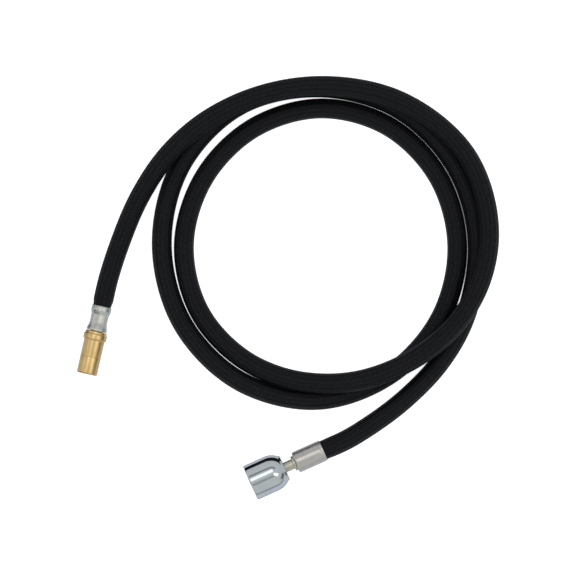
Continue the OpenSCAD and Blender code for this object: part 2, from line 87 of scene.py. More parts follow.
def add_node(
    tree: bpy.types.NodeTree,
    kind: str,
    settings: dict[str | int, Any] | None = None,
    links: dict[str | int, bpy.types.NodeSocket] | None = None,
) -> bpy.types.Node:
    """Adds one node with its settings and its links.

    Args:
        tree: The tree that the node goes into.
        kind: Blender's name for the kind of node.
        settings: Values by property name, input name or input number.
        links: Output sockets by the input name or number that they feed.

    Returns:
        The new node.
    """
    node = tree.nodes.new(kind)
    for name, value in (settings or {}).items():
        if isinstance(name, int) or name in node.inputs:
            node.inputs[name].default_value = value
        else:
            setattr(node, name, value)
    for name, source in (links or {}).items():
        tree.links.new(source, node.inputs[name])
    return node


def add_ramp(
    tree: bpy.types.NodeTree, value: bpy.types.NodeSocket, stops: Sequence[tuple[float, str]]
) -> bpy.types.NodeSocket:
    """Adds a colour ramp.

    Args:
        tree: The tree that it goes into.
        value: What runs along the ramp, from 0 to 1.
        stops: Places from 0 to 1 and the sRGB colour at each, in rising order.

    Returns:
        The ramp's colour.
    """
    ramp = add_node(tree, "ShaderNodeValToRGB", links={"Fac": value})
    elements = ramp.color_ramp.elements
    while len(elements) < len(stops):
        elements.new(0.5)
    for element, (place, colour) in zip(elements, stops, strict=True):
        element.position = place
        element.color = srgb(colour)
    return ramp.outputs["Color"]


def add_noise(
    tree: bpy.types.NodeTree, vector: bpy.types.NodeSocket, size: float, **settings: float
) -> bpy.types.NodeSocket:
    """Adds a noise texture with features of a real size.

    Args:
        tree: The tree that it goes into.
        vector: Coordinates in metres.
        size: Size of its features in millimetres.
        settings: Its other inputs by name.

    Returns:
        The noise, from 0 to 1.
    """
    values = {"Scale": MM_PER_M / size, **settings}
    return add_node(tree, "ShaderNodeTexNoise", values, {"Vector": vector}).outputs["Fac"]


def add_range(
    tree: bpy.types.NodeTree,
    value: bpy.types.NodeSocket,
    low: float,
    high: float,
    start: float = 0.0,
    end: float = 1.0,
) -> bpy.types.NodeSocket:
    """Adds a map from the range start to end on to the range low to high."""
    ends = {1: start, 2: end, 3: low, 4: high}
    return add_node(tree, "ShaderNodeMapRange", ends, {0: value}).outputs[0]


def add_bump(
    tree: bpy.types.NodeTree,
    height: bpy.types.NodeSocket,
    depth: float,
    under: bpy.types.NodeSocket | None = None,
    strength: float = 1.0,
) -> bpy.types.NodeSocket:
    """Adds a bump of a real depth.

    Args:
        tree: The tree that it goes into.
        height: The relief, from 0 to 1.
        depth: Depth of the relief in millimetres.
        under: The normal of a slower bump below it, if any.
        strength: How strongly it bends the normal.

    Returns:
        The bent normal.
    """
    links = {"Height": height} if under is None else {"Height": height, "Normal": under}
    settings = {"Strength": strength, "Distance": depth * MM}
    return add_node(tree, "ShaderNodeBump", settings, links).outputs["Normal"]


# ---- Places --------------------------------------------------------------------------


class Body(Enum):
    """The bodies of the frame that pieces ride on."""

    HOSE = "hose"
    NUT_SLIDER = "nut_slider"
    BELL_NUT = "bell_nut"
    CONNECTOR = "connector"
    POPPET = "poppet"


@dataclass(frozen=True)
class Axis:
    """The axis of a fitting: its ferrule's mouth and the heading away from the hose.

    Attributes:
        mouth: Where the hose enters the ferrule, in millimetres.
        heading: Compass of the axis in the table's plane, in degrees from +X.
    """

    mouth: tuple[float, float, float]
    heading: float

    @property
    def out(self) -> Vector:
        """Unit vector along the axis, away from the hose."""
        turn = math.radians(self.heading)
        return Vector((math.cos(turn), math.sin(turn), 0.0))

    @property
    def matrix(self) -> Matrix:
        """Local millimetres, with Z away from the hose, to metres in the row frame."""
        turn = Matrix.Rotation(math.radians(self.heading), 4, "Z")
        tip = Matrix.Rotation(math.radians(90), 4, "Y")
        place = Matrix.Translation(Vector(self.mouth) * MM)
        return place @ turn @ tip @ Matrix.Scale(MM, 4)

    def place(self, points: np.ndarray) -> np.ndarray:
        """Carries local points into the row frame.

        Args:
            points: Rows of x, y, z in local millimetres.

        Returns:
            The same rows in metres in the row frame.
        """
        carry = np.array(self.matrix, float)
        return points @ carry[:3, :3].T + carry[:3, 3]

    def local_vector(self, tree: bpy.types.NodeTree) -> bpy.types.NodeSocket:
        """Texture coordinates along this axis.

        Args:
            tree: The material's tree.

        Returns:
            A socket with local metres, Z along the axis.
        """
        coordinates = add_node(tree, "ShaderNodeTexCoord")
        turn = (self.matrix @ Matrix.Scale(MM_PER_M, 4)).to_euler("XYZ")
        settings = {
            "vector_type": "TEXTURE",
            "Location": Vector(self.mouth) * MM,
            "Rotation": turn,
        }
        mapping = add_node(tree, "ShaderNodeMapping", settings, {"Vector": coordinates.outputs["Object"]})
        return mapping.outputs["Vector"]


# ---- Finishes ------------------------------------------------------------------------


@dataclass(frozen=True)
class Finish:
    """What every finish shares: one principled shader and its output.

    Attributes:
        name: The material's name.
    """

    name: str

    def start(
        self, settings: dict[str, float | Colour]
    ) -> tuple[bpy.types.Material, bpy.types.NodeTree, bpy.types.Node]:
        """Makes a material that holds only its shader.

        Args:
            settings: Values of the shader's inputs by name.

        Returns:
            The material, its tree and its principled shader.
        """
        material = bpy.data.materials.new(self.name)
        material.use_nodes = True
        tree = material.node_tree
        tree.nodes.clear()
        shader = add_node(tree, "ShaderNodeBsdfPrincipled", settings)
        add_node(tree, "ShaderNodeOutputMaterial", links={"Surface": shader.outputs["BSDF"]})
        return material, tree, shader

    @staticmethod
    def feed(
        tree: bpy.types.NodeTree,
        shader: bpy.types.Node,
        colour: bpy.types.NodeSocket,
        rough: bpy.types.NodeSocket,
        normal: bpy.types.NodeSocket,
    ) -> None:
        """Links the colour, the roughness and the normal to the shader."""
        for name, source in (("Base Color", colour), ("Roughness", rough), ("Normal", normal)):
            tree.links.new(source, shader.inputs[name])


@dataclass(frozen=True)
class BraidedNylon(Finish):
    """Solution-dyed black polyamide yarn, braided two over two.

    Each yarn is a flat bundle of parallel filaments, so it has a soft satin shine on its
    crown. Its colour is painted darker down its sides and near black in the grooves
    between yarns, as painted shade.

    Attributes:
        crown: Colour on top of a yarn.
        flank: Colour half way down its side, darker as painted shade.
        groove: Colour between two yarns, near black as painted shade.
        shine: Colour of the light that the filaments throw back.
        shine_level: Strength of that light.
        roughness: Mean roughness.
        stray: How much lighter or darker one yarn is than another.
        filament_mm: Width of a filament.
        filament_depth_mm: Depth of the lines between filaments.
        yarn_mm: Width of a yarn.
        patch_mm: Size of the patches in which the shine varies.
    """

    name: str = "braided_nylon_yarn"
    crown: str = "#26282d"
    flank: str = "#0c0d10"
    groove: str = "#010102"
    shine: str = "#e6e4ec"
    shine_level: float = 0.24
    roughness: float = 0.42
    stray: float = 0.22
    filament_mm: float = 0.18
    filament_depth_mm: float = 0.03
    yarn_mm: float = 1.1
    patch_mm: float = 9.0

    def make(self) -> bpy.types.Material:
        """Builds the material. It reads the sleeve's yarn map and its two attributes."""
        settings = {"Specular IOR Level": self.shine_level, "Specular Tint": srgb(self.shine)}
        material, tree, shader = self.start(settings)
        height, tone = (
            add_node(tree, "ShaderNodeAttribute", {"attribute_name": name}).outputs["Fac"]
            for name in ("yarn_height", "yarn_tone")
        )
        # Painted shade: by the yarn's height, the colour runs from the crown down to near black in the
        # grooves.
        colour = add_ramp(tree, height, ((0.0, self.groove), (0.45, self.flank), (1.0, self.crown)))
        # Yarns come off different spools, so each is a little lighter or darker.
        lift = add_range(tree, tone, 1 - self.stray, 1 + self.stray)
        links = {0: colour, "Scale": lift}
        tinted = add_node(tree, "ShaderNodeVectorMath", {"operation": "SCALE"}, links)
        # Filaments run along each yarn: ridges across its width.
        yarn_map = add_node(tree, "ShaderNodeUVMap", {"uv_map": "yarn"})
        parts = add_node(tree, "ShaderNodeSeparateXYZ", links={"Vector": yarn_map.outputs["UV"]})
        turns = 2 * math.pi * self.yarn_mm / self.filament_mm
        phase = add_node(tree, "ShaderNodeMath", {"operation": "MULTIPLY", 1: turns}, {0: parts.outputs["X"]})
        ridges = add_node(tree, "ShaderNodeMath", {"operation": "SINE"}, {0: phase.outputs[0]})
        normal = add_bump(tree, ridges.outputs[0], self.filament_depth_mm, strength=0.5)
        # Broken light on the filaments roughens the shine unevenly along the hose.
        place = add_node(tree, "ShaderNodeTexCoord").outputs["Object"]
        patches = add_noise(tree, place, self.patch_mm, Detail=3.0)
        rough = add_range(tree, patches, self.roughness - 0.06, self.roughness + 0.08)
        self.feed(tree, shader, tinted.outputs["Vector"], rough, normal)
        return material


@dataclass(frozen=True)
class TurnedMetal(Finish):
    """Metal that was turned, drawn or plated on a round blank.

    Tool marks and polishing lines run round the axis. They show as faint rings, and they
    stretch each highlight along the piece.

    Attributes:
        base: Mean colour of the metal.
        stained: Colour of its duller patches.
        roughness: Mean roughness.
        spread: How far the roughness strays either side of the mean.
        ring_mm: Spacing of the rings.
        ring_depth_mm: Depth of the rings.
        patch_mm: Size of the duller patches.
        wave_depth_mm: Depth of the slow waves that polishing leaves.
        wave_mm: Size of those waves.
    """

    base: str
    stained: str
    roughness: float
    spread: float
    ring_mm: float
    ring_depth_mm: float
    patch_mm: float = 3.0
    wave_depth_mm: float = 0.0
    wave_mm: float = 7.0

    def make(self, axis: Axis) -> bpy.types.Material:
        """Builds the material for a piece on one axis, which the rings run round."""
        material, tree, shader = self.start({"Metallic": 1.0})
        vector = axis.local_vector(tree)
        patches = add_noise(tree, vector, self.patch_mm, Detail=4.0, Roughness=0.6)
        colour = add_ramp(tree, patches, ((0.35, self.stained), (0.62, self.base)))
        # Rings: noise that changes fast along the axis and slowly round it.
        squeeze = {"operation": "MULTIPLY", 1: (0.04, 0.04, 1.0)}
        squeezed = add_node(tree, "ShaderNodeVectorMath", squeeze, {0: vector})
        rings = add_noise(tree, squeezed.outputs[0], self.ring_mm, Detail=2.0)
        rough = add_range(tree, rings, self.roughness - self.spread, self.roughness + self.spread, 0.3, 0.7)
        slow = None
        if self.wave_depth_mm:
            waves = add_noise(tree, vector, self.wave_mm, Detail=1.0)
            slow = add_bump(tree, waves, self.wave_depth_mm)
        self.feed(tree, shader, colour, rough, add_bump(tree, rings, self.ring_depth_mm, slow))
        return material


@dataclass(frozen=True)
class MouldedPolymer(Finish):
    """Injection-moulded or compression-moulded polymer with a fine spark-eroded grain.

    Attributes:
        base: Mean colour.
        shade: Colour in the grain's low spots.
        roughness: Mean roughness.
        grain_mm: Size of the mould's grain.
        grain_depth_mm: Depth of the grain.
        ior: Index of refraction.
    """

    base: str
    shade: str
    roughness: float = 0.4
    grain_mm: float = 0.12
    grain_depth_mm: float = 0.006
    ior: float = 1.48

    def make(self, axis: Axis) -> bpy.types.Material:
        """Builds the material for a piece on one axis."""
        material, tree, shader = self.start({"IOR": self.ior})
        grain = add_noise(tree, axis.local_vector(tree), self.grain_mm, Detail=2.0)
        colour = add_ramp(tree, grain, ((0.3, self.shade), (0.6, self.base)))
        rough = add_range(tree, grain, self.roughness + 0.06, self.roughness - 0.06)
        self.feed(tree, shader, colour, rough, add_bump(tree, grain, self.grain_depth_mm))
        return material


AxialFinish = TurnedMetal | MouldedPolymer

# The metals: colour, duller colour, roughness, its spread, spacing and depth of the rings.
# Chrome plate over polished brass: a mirror with a cool cast and slow polishing waves.
CHROME = TurnedMetal(
    "polished_chrome_plate", "#d9dde2", "#d3d8de", 0.06, 0.01, 0.5, 0.0002, patch_mm=6.0, wave_depth_mm=0.02
)
# Drawn stainless tube, tumble polished: a warm satin grey with lines round it.
STAINLESS = TurnedMetal("drawn_stainless_steel", "#d8d3d0", "#cfcac7", 0.35, 0.03, 0.3, 0.0012)
# Crimped steel sleeve: left as pressed, so it is duller and more even.
CRIMPED_STEEL = TurnedMetal("crimped_steel", "#d6d6d2", "#cdcdc8", 0.36, 0.05, 0.4, 0.0015, patch_mm=1.6)
# Nickel plate over turned brass: yellower and softer than chrome.
NICKEL = TurnedMetal("nickel_plated_brass", "#dbd5c8", "#cfc8b9", 0.38, 0.03, 0.3, 0.0012)
# Turned brass, left bare: fine rings and a little tarnish in patches.
BRASS = TurnedMetal("turned_brass", "#ebcb92", "#e2c084", 0.3, 0.015, 0.4, 0.0006, patch_mm=4.0)
# The same brass deep in the swivel, painted dark as the shade that falls in the narrow gap round it.
GAP_SHADE_BRASS = TurnedMetal("brass_painted_with_gap_shade", "#8d6c3c", "#6d5230", 0.45, 0.06, 0.25, 0.003)
# Spring wire, drawn hard: a bright grey line of light on each turn.
SPRING_STEEL = TurnedMetal("drawn_spring_wire", "#c4c6c9", "#a9abae", 0.25, 0.05, 0.1, 0.001, patch_mm=0.8)
# Moulded EPDM rubber: matt and nearly black.
RUBBER = MouldedPolymer(
    "moulded_epdm_rubber", "#1b1b1b", "#121212", 0.62, grain_mm=0.2, grain_depth_mm=0.01, ior=1.52
)
# Moulded white acetal: milky and slightly waxy.
ACETAL = MouldedPolymer("moulded_white_acetal", "#e9e7de", "#dcd9cd")
# Moulded blue acetal, as check valve cartridges are.
BLUE_ACETAL = MouldedPolymer("moulded_blue_acetal", "#3d76b8", "#2f639f", 0.36)
# Extruded polyethylene: a cloudy tube wall with lines along the draw.
POLYETHYLENE = MouldedPolymer("extruded_polyethylene", "#dfe3e4", "#cdd3d5", 0.45, grain_mm=0.5, ior=1.51)


# ---- Mesh building -------------------------------------------------------------------


def new_piece(
    name: str, points: np.ndarray, faces: np.ndarray | list[list[int]], material: bpy.types.Material
) -> bpy.types.Object:
    """Makes a smooth-shaded mesh object in the row frame.

    Args:
        name: The piece's name.
        points: Rows of x, y, z in metres.
        faces: Corner numbers of each face.
        material: Its only material.

    Returns:
        The linked object.
    """
    mesh = bpy.data.meshes.new(name)
    mesh.from_pydata(points.tolist(), [], faces if isinstance(faces, list) else faces.tolist())
    mesh.materials.append(material)
    mesh.shade_smooth()
    mesh.set_sharp_from_angle(angle=SHARP_ANGLE)
    piece = bpy.data.objects.new(name, mesh)
    bpy.context.scene.collection.objects.link(piece)
    return piece


def arc(centre: tuple[float, float], radius: float, start: float, end: float, count: int) -> Outline:
    """Points on an arc in the (radius, z) plane.

    Args:
        centre: The arc's centre.
        radius: The arc's radius.
        start: First angle in degrees.
        end: Last angle in degrees.
        count: Number of steps.

    Returns:
        The points, both ends included.
    """
    turns = np.radians(np.linspace(start, end, count + 1))
    return [(centre[0] + radius * math.cos(t), centre[1] + radius * math.sin(t)) for t in turns]


def eased(corners: Corners, steps: int = 4) -> Outline:
    """Rounds the corners of a closed outline.

    Args:
        corners: Points of the outline, each with the radius that eases it, or none.
        steps: Steps in each rounding.

    Returns:
        The outline with an arc at each eased corner.
    """
    made: Outline = []
    count = len(corners)
    for k, corner in enumerate(corners):
        here = np.array(corner[:2])
        ease = corner[2] if len(corner) > 2 else 0.0
        before = np.array(corners[k - 1][:2]) - here
        after = np.array(corners[(k + 1) % count][:2]) - here
        reach = min(np.linalg.norm(before), np.linalg.norm(after))
        if ease <= 0 or reach < 1e-6:
            made.append((here[0], here[1]))
            continue
        before /= np.linalg.norm(before)
        after /= np.linalg.norm(after)
        half = math.acos(max(-1.0, min(1.0, float(before @ after)))) / 2
        along = min(ease / math.tan(half), 0.45 * reach)
        radius = along * math.tan(half)
        middle = here + (before + after) / np.linalg.norm(before + after) * radius / math.sin(half)
        first = here + before * along - middle
        sweep = math.pi - 2 * half
        side = np.sign(first[0] * (here - middle)[1] - first[1] * (here - middle)[0])
        for step in range(steps + 1):
            turn = side * sweep * step / steps
            swung = (
                first[0] * math.cos(turn) - first[1] * math.sin(turn),
                first[0] * math.sin(turn) + first[1] * math.cos(turn),
            )
            made.append((middle[0] + swung[0], middle[1] + swung[1]))
    return made


def grid_faces(rows: int, sides: int) -> np.ndarray:
    """Quads over a grid that closes on itself both ways.

    Args:
        rows: Rings of the grid.
        sides: Points on a ring.

    Returns:
        The corner numbers of each quad, ring by ring.
    """
    here = np.arange(rows * sides).reshape(rows, sides)
    beside = np.roll(here, -1, axis=1)
    quads = [here, beside, np.roll(beside, -1, axis=0), np.roll(here, -1, axis=0)]
    return np.stack(quads, axis=-1).reshape(-1, 4)


@dataclass(frozen=True)
class Turning:
    """A lathe that turns closed pieces round one axis from their half outlines.

    Attributes:
        axis: The fitting's axis.
        sides: Sides of a full turn.
    """

    axis: Axis
    sides: int = 128

    def grid(self, outline: Outline) -> tuple[np.ndarray, np.ndarray, np.ndarray]:
        """Spreads an outline round the axis.

        Args:
            outline: Closed outline of radius and z in millimetres.

        Returns:
            Radius, angle and z, each with a row for each outline point.
        """
        turns = np.linspace(0, 2 * math.pi, self.sides, endpoint=False)
        radius = np.repeat(np.array([p[0] for p in outline])[:, None], self.sides, axis=1)
        height = np.repeat(np.array([p[1] for p in outline])[:, None], self.sides, axis=1)
        return radius, np.repeat(turns[None, :], len(outline), axis=0), height

    def close(
        self, name: str, grid: tuple[np.ndarray, np.ndarray, np.ndarray], finish: AxialFinish
    ) -> bpy.types.Object:
        """Makes the piece from its grid.

        Args:
            name: The piece's name.
            grid: Radius, angle and local z at each point, in millimetres and radians.
            finish: What it is made of.

        Returns:
            The new piece.
        """
        radius, angle, height = grid
        local = np.stack([radius * np.cos(angle), radius * np.sin(angle), height], axis=-1)
        points = self.axis.place(local.reshape(-1, 3))
        return new_piece(name, points, grid_faces(*radius.shape), finish.make(self.axis))

    def turn(self, name: str, corners: Corners, finish: AxialFinish, steps: int = 4) -> bpy.types.Object:
        """Makes a plain turned piece.

        Args:
            name: The piece's name.
            corners: Closed outline, outside upwards and bore downwards, with its roundings.
            finish: What it is made of.
            steps: Steps in each rounding.

        Returns:
            The new piece.
        """
        return self.close(name, self.grid(eased(corners, steps)), finish)


def fit(piece: bpy.types.Object, body: Body, slot: str, *nodes: str) -> bpy.types.Object:
    """Puts a new piece on its body in place of its CAD nodes.

    Args:
        piece: The new piece.
        body: The body that it rides on.
        slot: The record's material slot; not used.
        nodes: The CAD nodes that it stands for.

    Returns:
        The same piece.
    """
    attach(piece, body.value)
    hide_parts(*nodes)
    log.info("%s: %d faces, on %s", piece.name, len(piece.data.polygons), body.value)
    return piece


def dress(finish: AxialFinish, axis: Axis, *nodes: str) -> None:
    """Gives CAD nodes that stay as they are their finish.

    Args:
        finish: What they are made of.
        axis: The fitting's axis.
        nodes: The CAD nodes' names.
    """
    material = finish.make(axis)
    for node in nodes:
        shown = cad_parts[node]
        shown.data.materials.clear()
        shown.data.materials.append(material)
        log.info("%s: CAD node, dressed as %s", node, material.name)


# ---- Hose ----------------------------------------------------------------------------

SPRAY_AXIS = Axis((23.5, -105.4, 11.9975), 204.2)
SUPPLY_AXIS = Axis((-120.4, -11.8, 7.6), 257.25)


@dataclass(frozen=True)
class Hose:
    """The hose: its route over the table, its woven sleeve and its liner.

    The real yarns are about 1.3 mm apart. These are a little coarser, so that they still
    show when the whole lay is in view.

    Attributes:
        diameter: Outside diameter over the yarns.
        sleeve_wall: Thickness of the woven sleeve.
        yarns: Yarns that wind each way.
        yarn_pitch: Distance along the hose between two yarns of one way.
        relief: Height of a yarn's crown over the grooves.
        crown_rise: How far the crowns stand over the measured diameter.
        cell_steps: Mesh steps across a yarn.
        tone_seed: Seed of the yarns' tones.
        exit_run: Straight run outside each ferrule.
        bore_step: Distance between rings on the sleeve's inside and on the liner.
        spray_end: Length inside the spray ferrule.
        supply_end: Length inside the supply ferrule.
        crimp_depths: Depths inside the supply ferrule's mouth where the crimp changes.
        crimp_radii: Outside radius at each of them.
        crimp_walls: Share of the walls' thickness that the crimp leaves there.
        loops_middle: Middle of the loops.
        lay: Rows of angle, distance from the loops' middle and height.
    """

    diameter: float = 13.0
    sleeve_wall: float = 0.9
    yarns: int = 14
    yarn_pitch: float = 1.5
    relief: float = 0.42
    crown_rise: float = 0.18
    cell_steps: int = 3
    tone_seed: int = 24
    exit_run: float = 16.0
    bore_step: float = 4.0
    liner_sides: int = 40
    liner_gap: float = 0.1
    liner_wall: float = 1.5
    spray_end: float = 17.8
    supply_end: float = 13.5
    crimp_depths: tuple[float, ...] = (-4.0, 0.0, 2.0, 9.5)
    crimp_radii: tuple[float, ...] = (6.5, 6.0, 6.0, 5.0)
    crimp_walls: tuple[float, ...] = (1.0, 0.9, 0.9, 0.7)
    loops_middle: tuple[float, float] = (21.3, 28.6)
    lay: tuple[tuple[float, float, float], ...] = (
        (180, 130.3, 6.8), (165, 121, 7.8), (150, 114.7, 14.5), (135, 109.5, 18.7),
        (120, 105.4, 19.7), (90, 102.5, 19.7), (60, 106.3, 19.1), (30, 111.2, 16),
        (0, 109.5, 17.7), (-15, 106.5, 19.4), (-30, 102.4, 19.4), (-45, 97.8, 19.2),
        (-60, 94.2, 19.7), (-75, 92, 18), (-90, 90.5, 14.3), (-105, 90, 10.6),
        (-120, 90, 7.4), (-150, 89.9, 6.5), (-180, 88.5, 6.5), (-210, 86.9, 6.5),
        (-240, 87, 6.5), (-270, 88.2, 6.5), (-300, 88.6, 6.5), (-330, 88.5, 6.5),
        (-360, 89.3, 6.5), (-390, 91.8, 6.5), (-420, 95.9, 6.5), (-450, 101.3, 6.5),
        (-480, 103.3, 6.5), (-510, 103.3, 6.5), (-540, 102.9, 6.5), (-570, 104, 6.5),
        (-600, 104.3, 6.5), (-630, 101.8, 6.5), (-660, 101.8, 6.5), (-690, 101.7, 6.5),
        (-720, 102.5, 6.5), (-735, 103.6, 6.5), (-750, 106.4, 6.5), (-765, 109.7, 7),
        (-780, 114.4, 8.9), (-795, 122.6, 11.2),
    )

    def knots(self) -> np.ndarray:
        """The points that the route runs through, in millimetres."""
        turns = np.radians([row[0] for row in self.lay])
        reach = np.array([row[1] for row in self.lay])
        middle = np.stack(
            [
                self.loops_middle[0] + reach * np.cos(turns),
                self.loops_middle[1] + reach * np.sin(turns),
                np.array([row[2] for row in self.lay]),
            ],
            axis=-1,
        )
        supply, spray = np.array(SUPPLY_AXIS.mouth), np.array(SPRAY_AXIS.mouth)
        supply_out, spray_out = np.array(SUPPLY_AXIS.out), np.array(SPRAY_AXIS.out)
        first = [supply, supply - self.exit_run * supply_out]
        last = [spray - self.exit_run * spray_out, spray]
        return np.concatenate([first, middle, last])

    def slopes(self, knots: np.ndarray) -> np.ndarray:
        """Direction at each knot: the parabola through it and its neighbours.

        Args:
            knots: The route's points.

        Returns:
            A row for each knot.
        """
        chords = np.diff(knots, axis=0)
        lengths = np.linalg.norm(chords, axis=1)[:, None]
        before, after = lengths[:-1], lengths[1:]
        inner = (after * chords[:-1] / before + before * chords[1:] / after) / (before + after)
        ends = -np.array(SUPPLY_AXIS.out), np.array(SPRAY_AXIS.out)
        return np.concatenate([[ends[0]], inner, [ends[1]]])

    def route(self, step: float) -> tuple[np.ndarray, np.ndarray, np.ndarray]:
        """Even places along the hose, from inside one ferrule to inside the other.

        Args:
            step: Distance between two places, in millimetres.

        Returns:
            The places, the directions there, and the distance from the supply ferrule's
            mouth, less than zero inside it.
        """
        knots = self.knots()
        slopes = self.slopes(knots)
        fine = np.linspace(0, len(knots) - 1, (len(knots) - 1) * 64 + 1)
        rough, _ = self.on_curve(knots, slopes, fine)
        travel = np.concatenate([[0], np.cumsum(np.linalg.norm(np.diff(rough, axis=0), axis=1))])
        total = travel[-1]
        count = round((total + self.supply_end + self.spray_end) / step)
        along = np.linspace(-self.supply_end, total + self.spray_end, count + 1)
        inside = np.clip(along, 0, total)
        places, directions = self.on_curve(knots, slopes, np.interp(inside, travel, fine))
        places = places + (along - inside)[:, None] * directions
        return places, directions, along

    @staticmethod
    def on_curve(knots: np.ndarray, slopes: np.ndarray, where: np.ndarray) -> tuple[np.ndarray, np.ndarray]:
        """Points and directions on the smooth curve through the knots.

        Args:
            knots: The route's points.
            slopes: The direction at each.
            where: Places as a knot's number plus the share of the way to the next.

        Returns:
            The points and the unit directions.
        """
        start = np.minimum(where.astype(int), len(knots) - 2)
        t = (where - start)[:, None]
        a, b = knots[start], knots[start + 1]
        reach = np.linalg.norm(b - a, axis=1)[:, None]
        from_a, to_b = slopes[start], slopes[start + 1]
        points = (
            (2 * t**3 - 3 * t**2 + 1) * a
            + (t**3 - 2 * t**2 + t) * reach * from_a
            + (3 * t**2 - 2 * t**3) * b
            + (t**3 - t**2) * reach * to_b
        )
        direction = (
            (6 * t**2 - 6 * t) * (a - b) / reach
            + (3 * t**2 - 4 * t + 1) * from_a
            + (3 * t**2 - 2 * t) * to_b
        )
        return points, direction / np.linalg.norm(direction, axis=1)[:, None]

    def rise(self, along: np.ndarray) -> np.ndarray:
        """How far the crowns stand proud of the measured diameter, clear of both ferrules."""
        end = along[-1] - self.spray_end
        return self.crown_rise * np.interp(along, [1, 5, end - 5, end - 1], [0, 1, 1, 0])

    def crimp(self, along: np.ndarray) -> tuple[np.ndarray, np.ndarray]:
        """How the supply crimp narrows the hose.

        Args:
            along: Distances from the supply ferrule's mouth.

        Returns:
            The outside radius and the share of the walls that is left.
        """
        radius = np.interp(-along, self.crimp_depths, self.crimp_radii)
        return radius, np.interp(-along, self.crimp_depths, self.crimp_walls)

    @staticmethod
    def rings(
        places: np.ndarray, directions: np.ndarray, turn: np.ndarray, reach: np.ndarray
    ) -> np.ndarray:
        """Rings of points round the route.

        Args:
            places: The middle of each ring.
            directions: The route's direction at each.
            turn: Angle of each point, a row for each ring or one row for all.
            reach: Distance of each point from the middle, a row for each ring.

        Returns:
            The points, a row for each ring.
        """
        side = np.cross(np.array([0, 0, 1.0]), directions)
        side /= np.linalg.norm(side, axis=1)[:, None]
        up = np.cross(directions, side)
        spokes = np.cos(turn)[:, :, None] * side[:, None, :] + np.sin(turn)[:, :, None] * up[:, None, :]
        return places[:, None, :] + reach[:, :, None] * spokes

    def woven(self, rows: int, columns: int) -> tuple[np.ndarray, np.ndarray, np.ndarray, np.ndarray]:
        """Works out the two-over-two braid on a grid of diamonds.

        A mesh edge runs along a yarn, and each diamond belongs to one crossing.

        Args:
            rows: Rings along the hose.
            columns: Points on a ring.

        Returns:
            The corner numbers of each diamond, the map across and along the yarn on top
            at each corner, the height from 0 to 1 at each point, and each diamond's yarn.
        """
        r, c = np.meshgrid(np.arange(rows - 2), np.arange(columns), indexing="ij")
        r, c = r.ravel(), c.ravel()
        odd = r % 2
        right = (c + odd) % columns
        left = (c + odd - 1) % columns
        next_ring = (r + 1) * columns
        faces = np.stack(
            [r * columns + c, next_ring + right, (r + 2) * columns + c, next_ring + left], axis=-1
        )
        # Yarn coordinates, in mesh steps: a grows along one way of winding, b along the other.
        twice = 2 * c + odd
        a0, b0 = (twice + r) // 2, (twice - r) // 2
        corner_a = a0[:, None] + np.array([0, 1, 1, 0])[None, :]
        corner_b = b0[:, None] + np.array([0, 0, -1, -1])[None, :]
        k = self.cell_steps
        i, j = a0 // k, (b0 - 1) // k
        phase = (i + j) % 4
        first = phase < 2
        across_a, along_a = corner_a / k - i[:, None], corner_b / k - j[:, None]
        across = np.where(first[:, None], across_a, along_a)
        run = np.where(first[:, None], along_a, across_a) + np.where(first, phase, phase - 2)[:, None]
        hump, stretch = (np.clip(np.sin(math.pi * share), 0, 1) for share in (across, run / 2))
        lift = hump**0.8 * stretch**0.6
        height = np.zeros(rows * columns)
        np.maximum.at(height, faces.ravel(), lift.ravel())
        yarn_map = np.stack([across, run / 2], axis=-1)
        yarn = np.where(first, i % self.yarns, self.yarns + j % self.yarns)
        return faces, yarn_map, height, yarn

    def build_sleeve(self) -> bpy.types.Object:
        columns = self.yarns * self.cell_steps
        step = self.yarn_pitch / (2 * self.cell_steps)
        places, directions, along = self.route(step)
        rows = len(places)
        radius, left = self.crimp(along)
        faces, yarn_map, height, yarn = self.woven(rows, columns)
        turn = 2 * math.pi * (np.arange(columns)[None, :] + (np.arange(rows) % 2)[:, None] / 2) / columns
        lift = (height.reshape(rows, columns) - 1) * self.relief * left[:, None]
        outside = self.rings(places, directions, turn, (radius + self.rise(along))[:, None] + lift)
        # The ends: rings of triangles square off the diamonds, then the bore goes back.
        gap_rows = max(1, round(self.bore_step / step))
        picked = np.unique(np.append(np.arange(0, rows, gap_rows), rows - 1))
        bore = (radius - left * self.sleeve_wall)[picked][:, None]
        inside = self.rings(places[picked], directions[picked], turn[picked], bore)
        points = np.concatenate([outside.reshape(-1, 3), inside.reshape(-1, 3)]) * MM
        closing = self.closing_faces(picked, rows, columns)
        piece = new_piece("woven_sleeve", points, faces.tolist() + closing, BraidedNylon().make())
        self.paint_yarns(piece.data, faces, yarn_map, height, yarn)
        fit(piece, Body.HOSE, "braid", "outer_braid")
        free = (along >= 0) & (along <= along[-1] - self.spray_end)
        self.length(places) * MM
        log.info("free hose between the ferrules: %.1f mm", self.length(places[free]))
        return piece

    def build_liner(self) -> bpy.types.Object:
        """Sweeps the liner tube inside the sleeve."""
        places, directions, along = self.route(self.bore_step)
        outer, left = self.crimp(along)
        outer = outer - left * self.sleeve_wall - self.liner_gap
        turn = (2 * math.pi * np.arange(self.liner_sides) / self.liner_sides)[None, :]
        walls = (outer, outer - left * self.liner_wall)
        outside, inside = (self.rings(places, directions, turn, wall[:, None]) for wall in walls)
        # One closed loop of rings: out along the outside and back along the bore.
        loop = np.concatenate([outside, inside[::-1]]) * MM
        faces = grid_faces(len(loop), self.liner_sides)
        piece = new_piece("liner_tube", loop.reshape(-1, 3), faces, POLYETHYLENE.make(SUPPLY_AXIS))
        return fit(piece, Body.HOSE, "liner", "inner_liner")

    @staticmethod
    def length(places: np.ndarray) -> float:
        """Length of a line of places, in millimetres."""
        return float(np.linalg.norm(np.diff(places, axis=0), axis=1).sum())

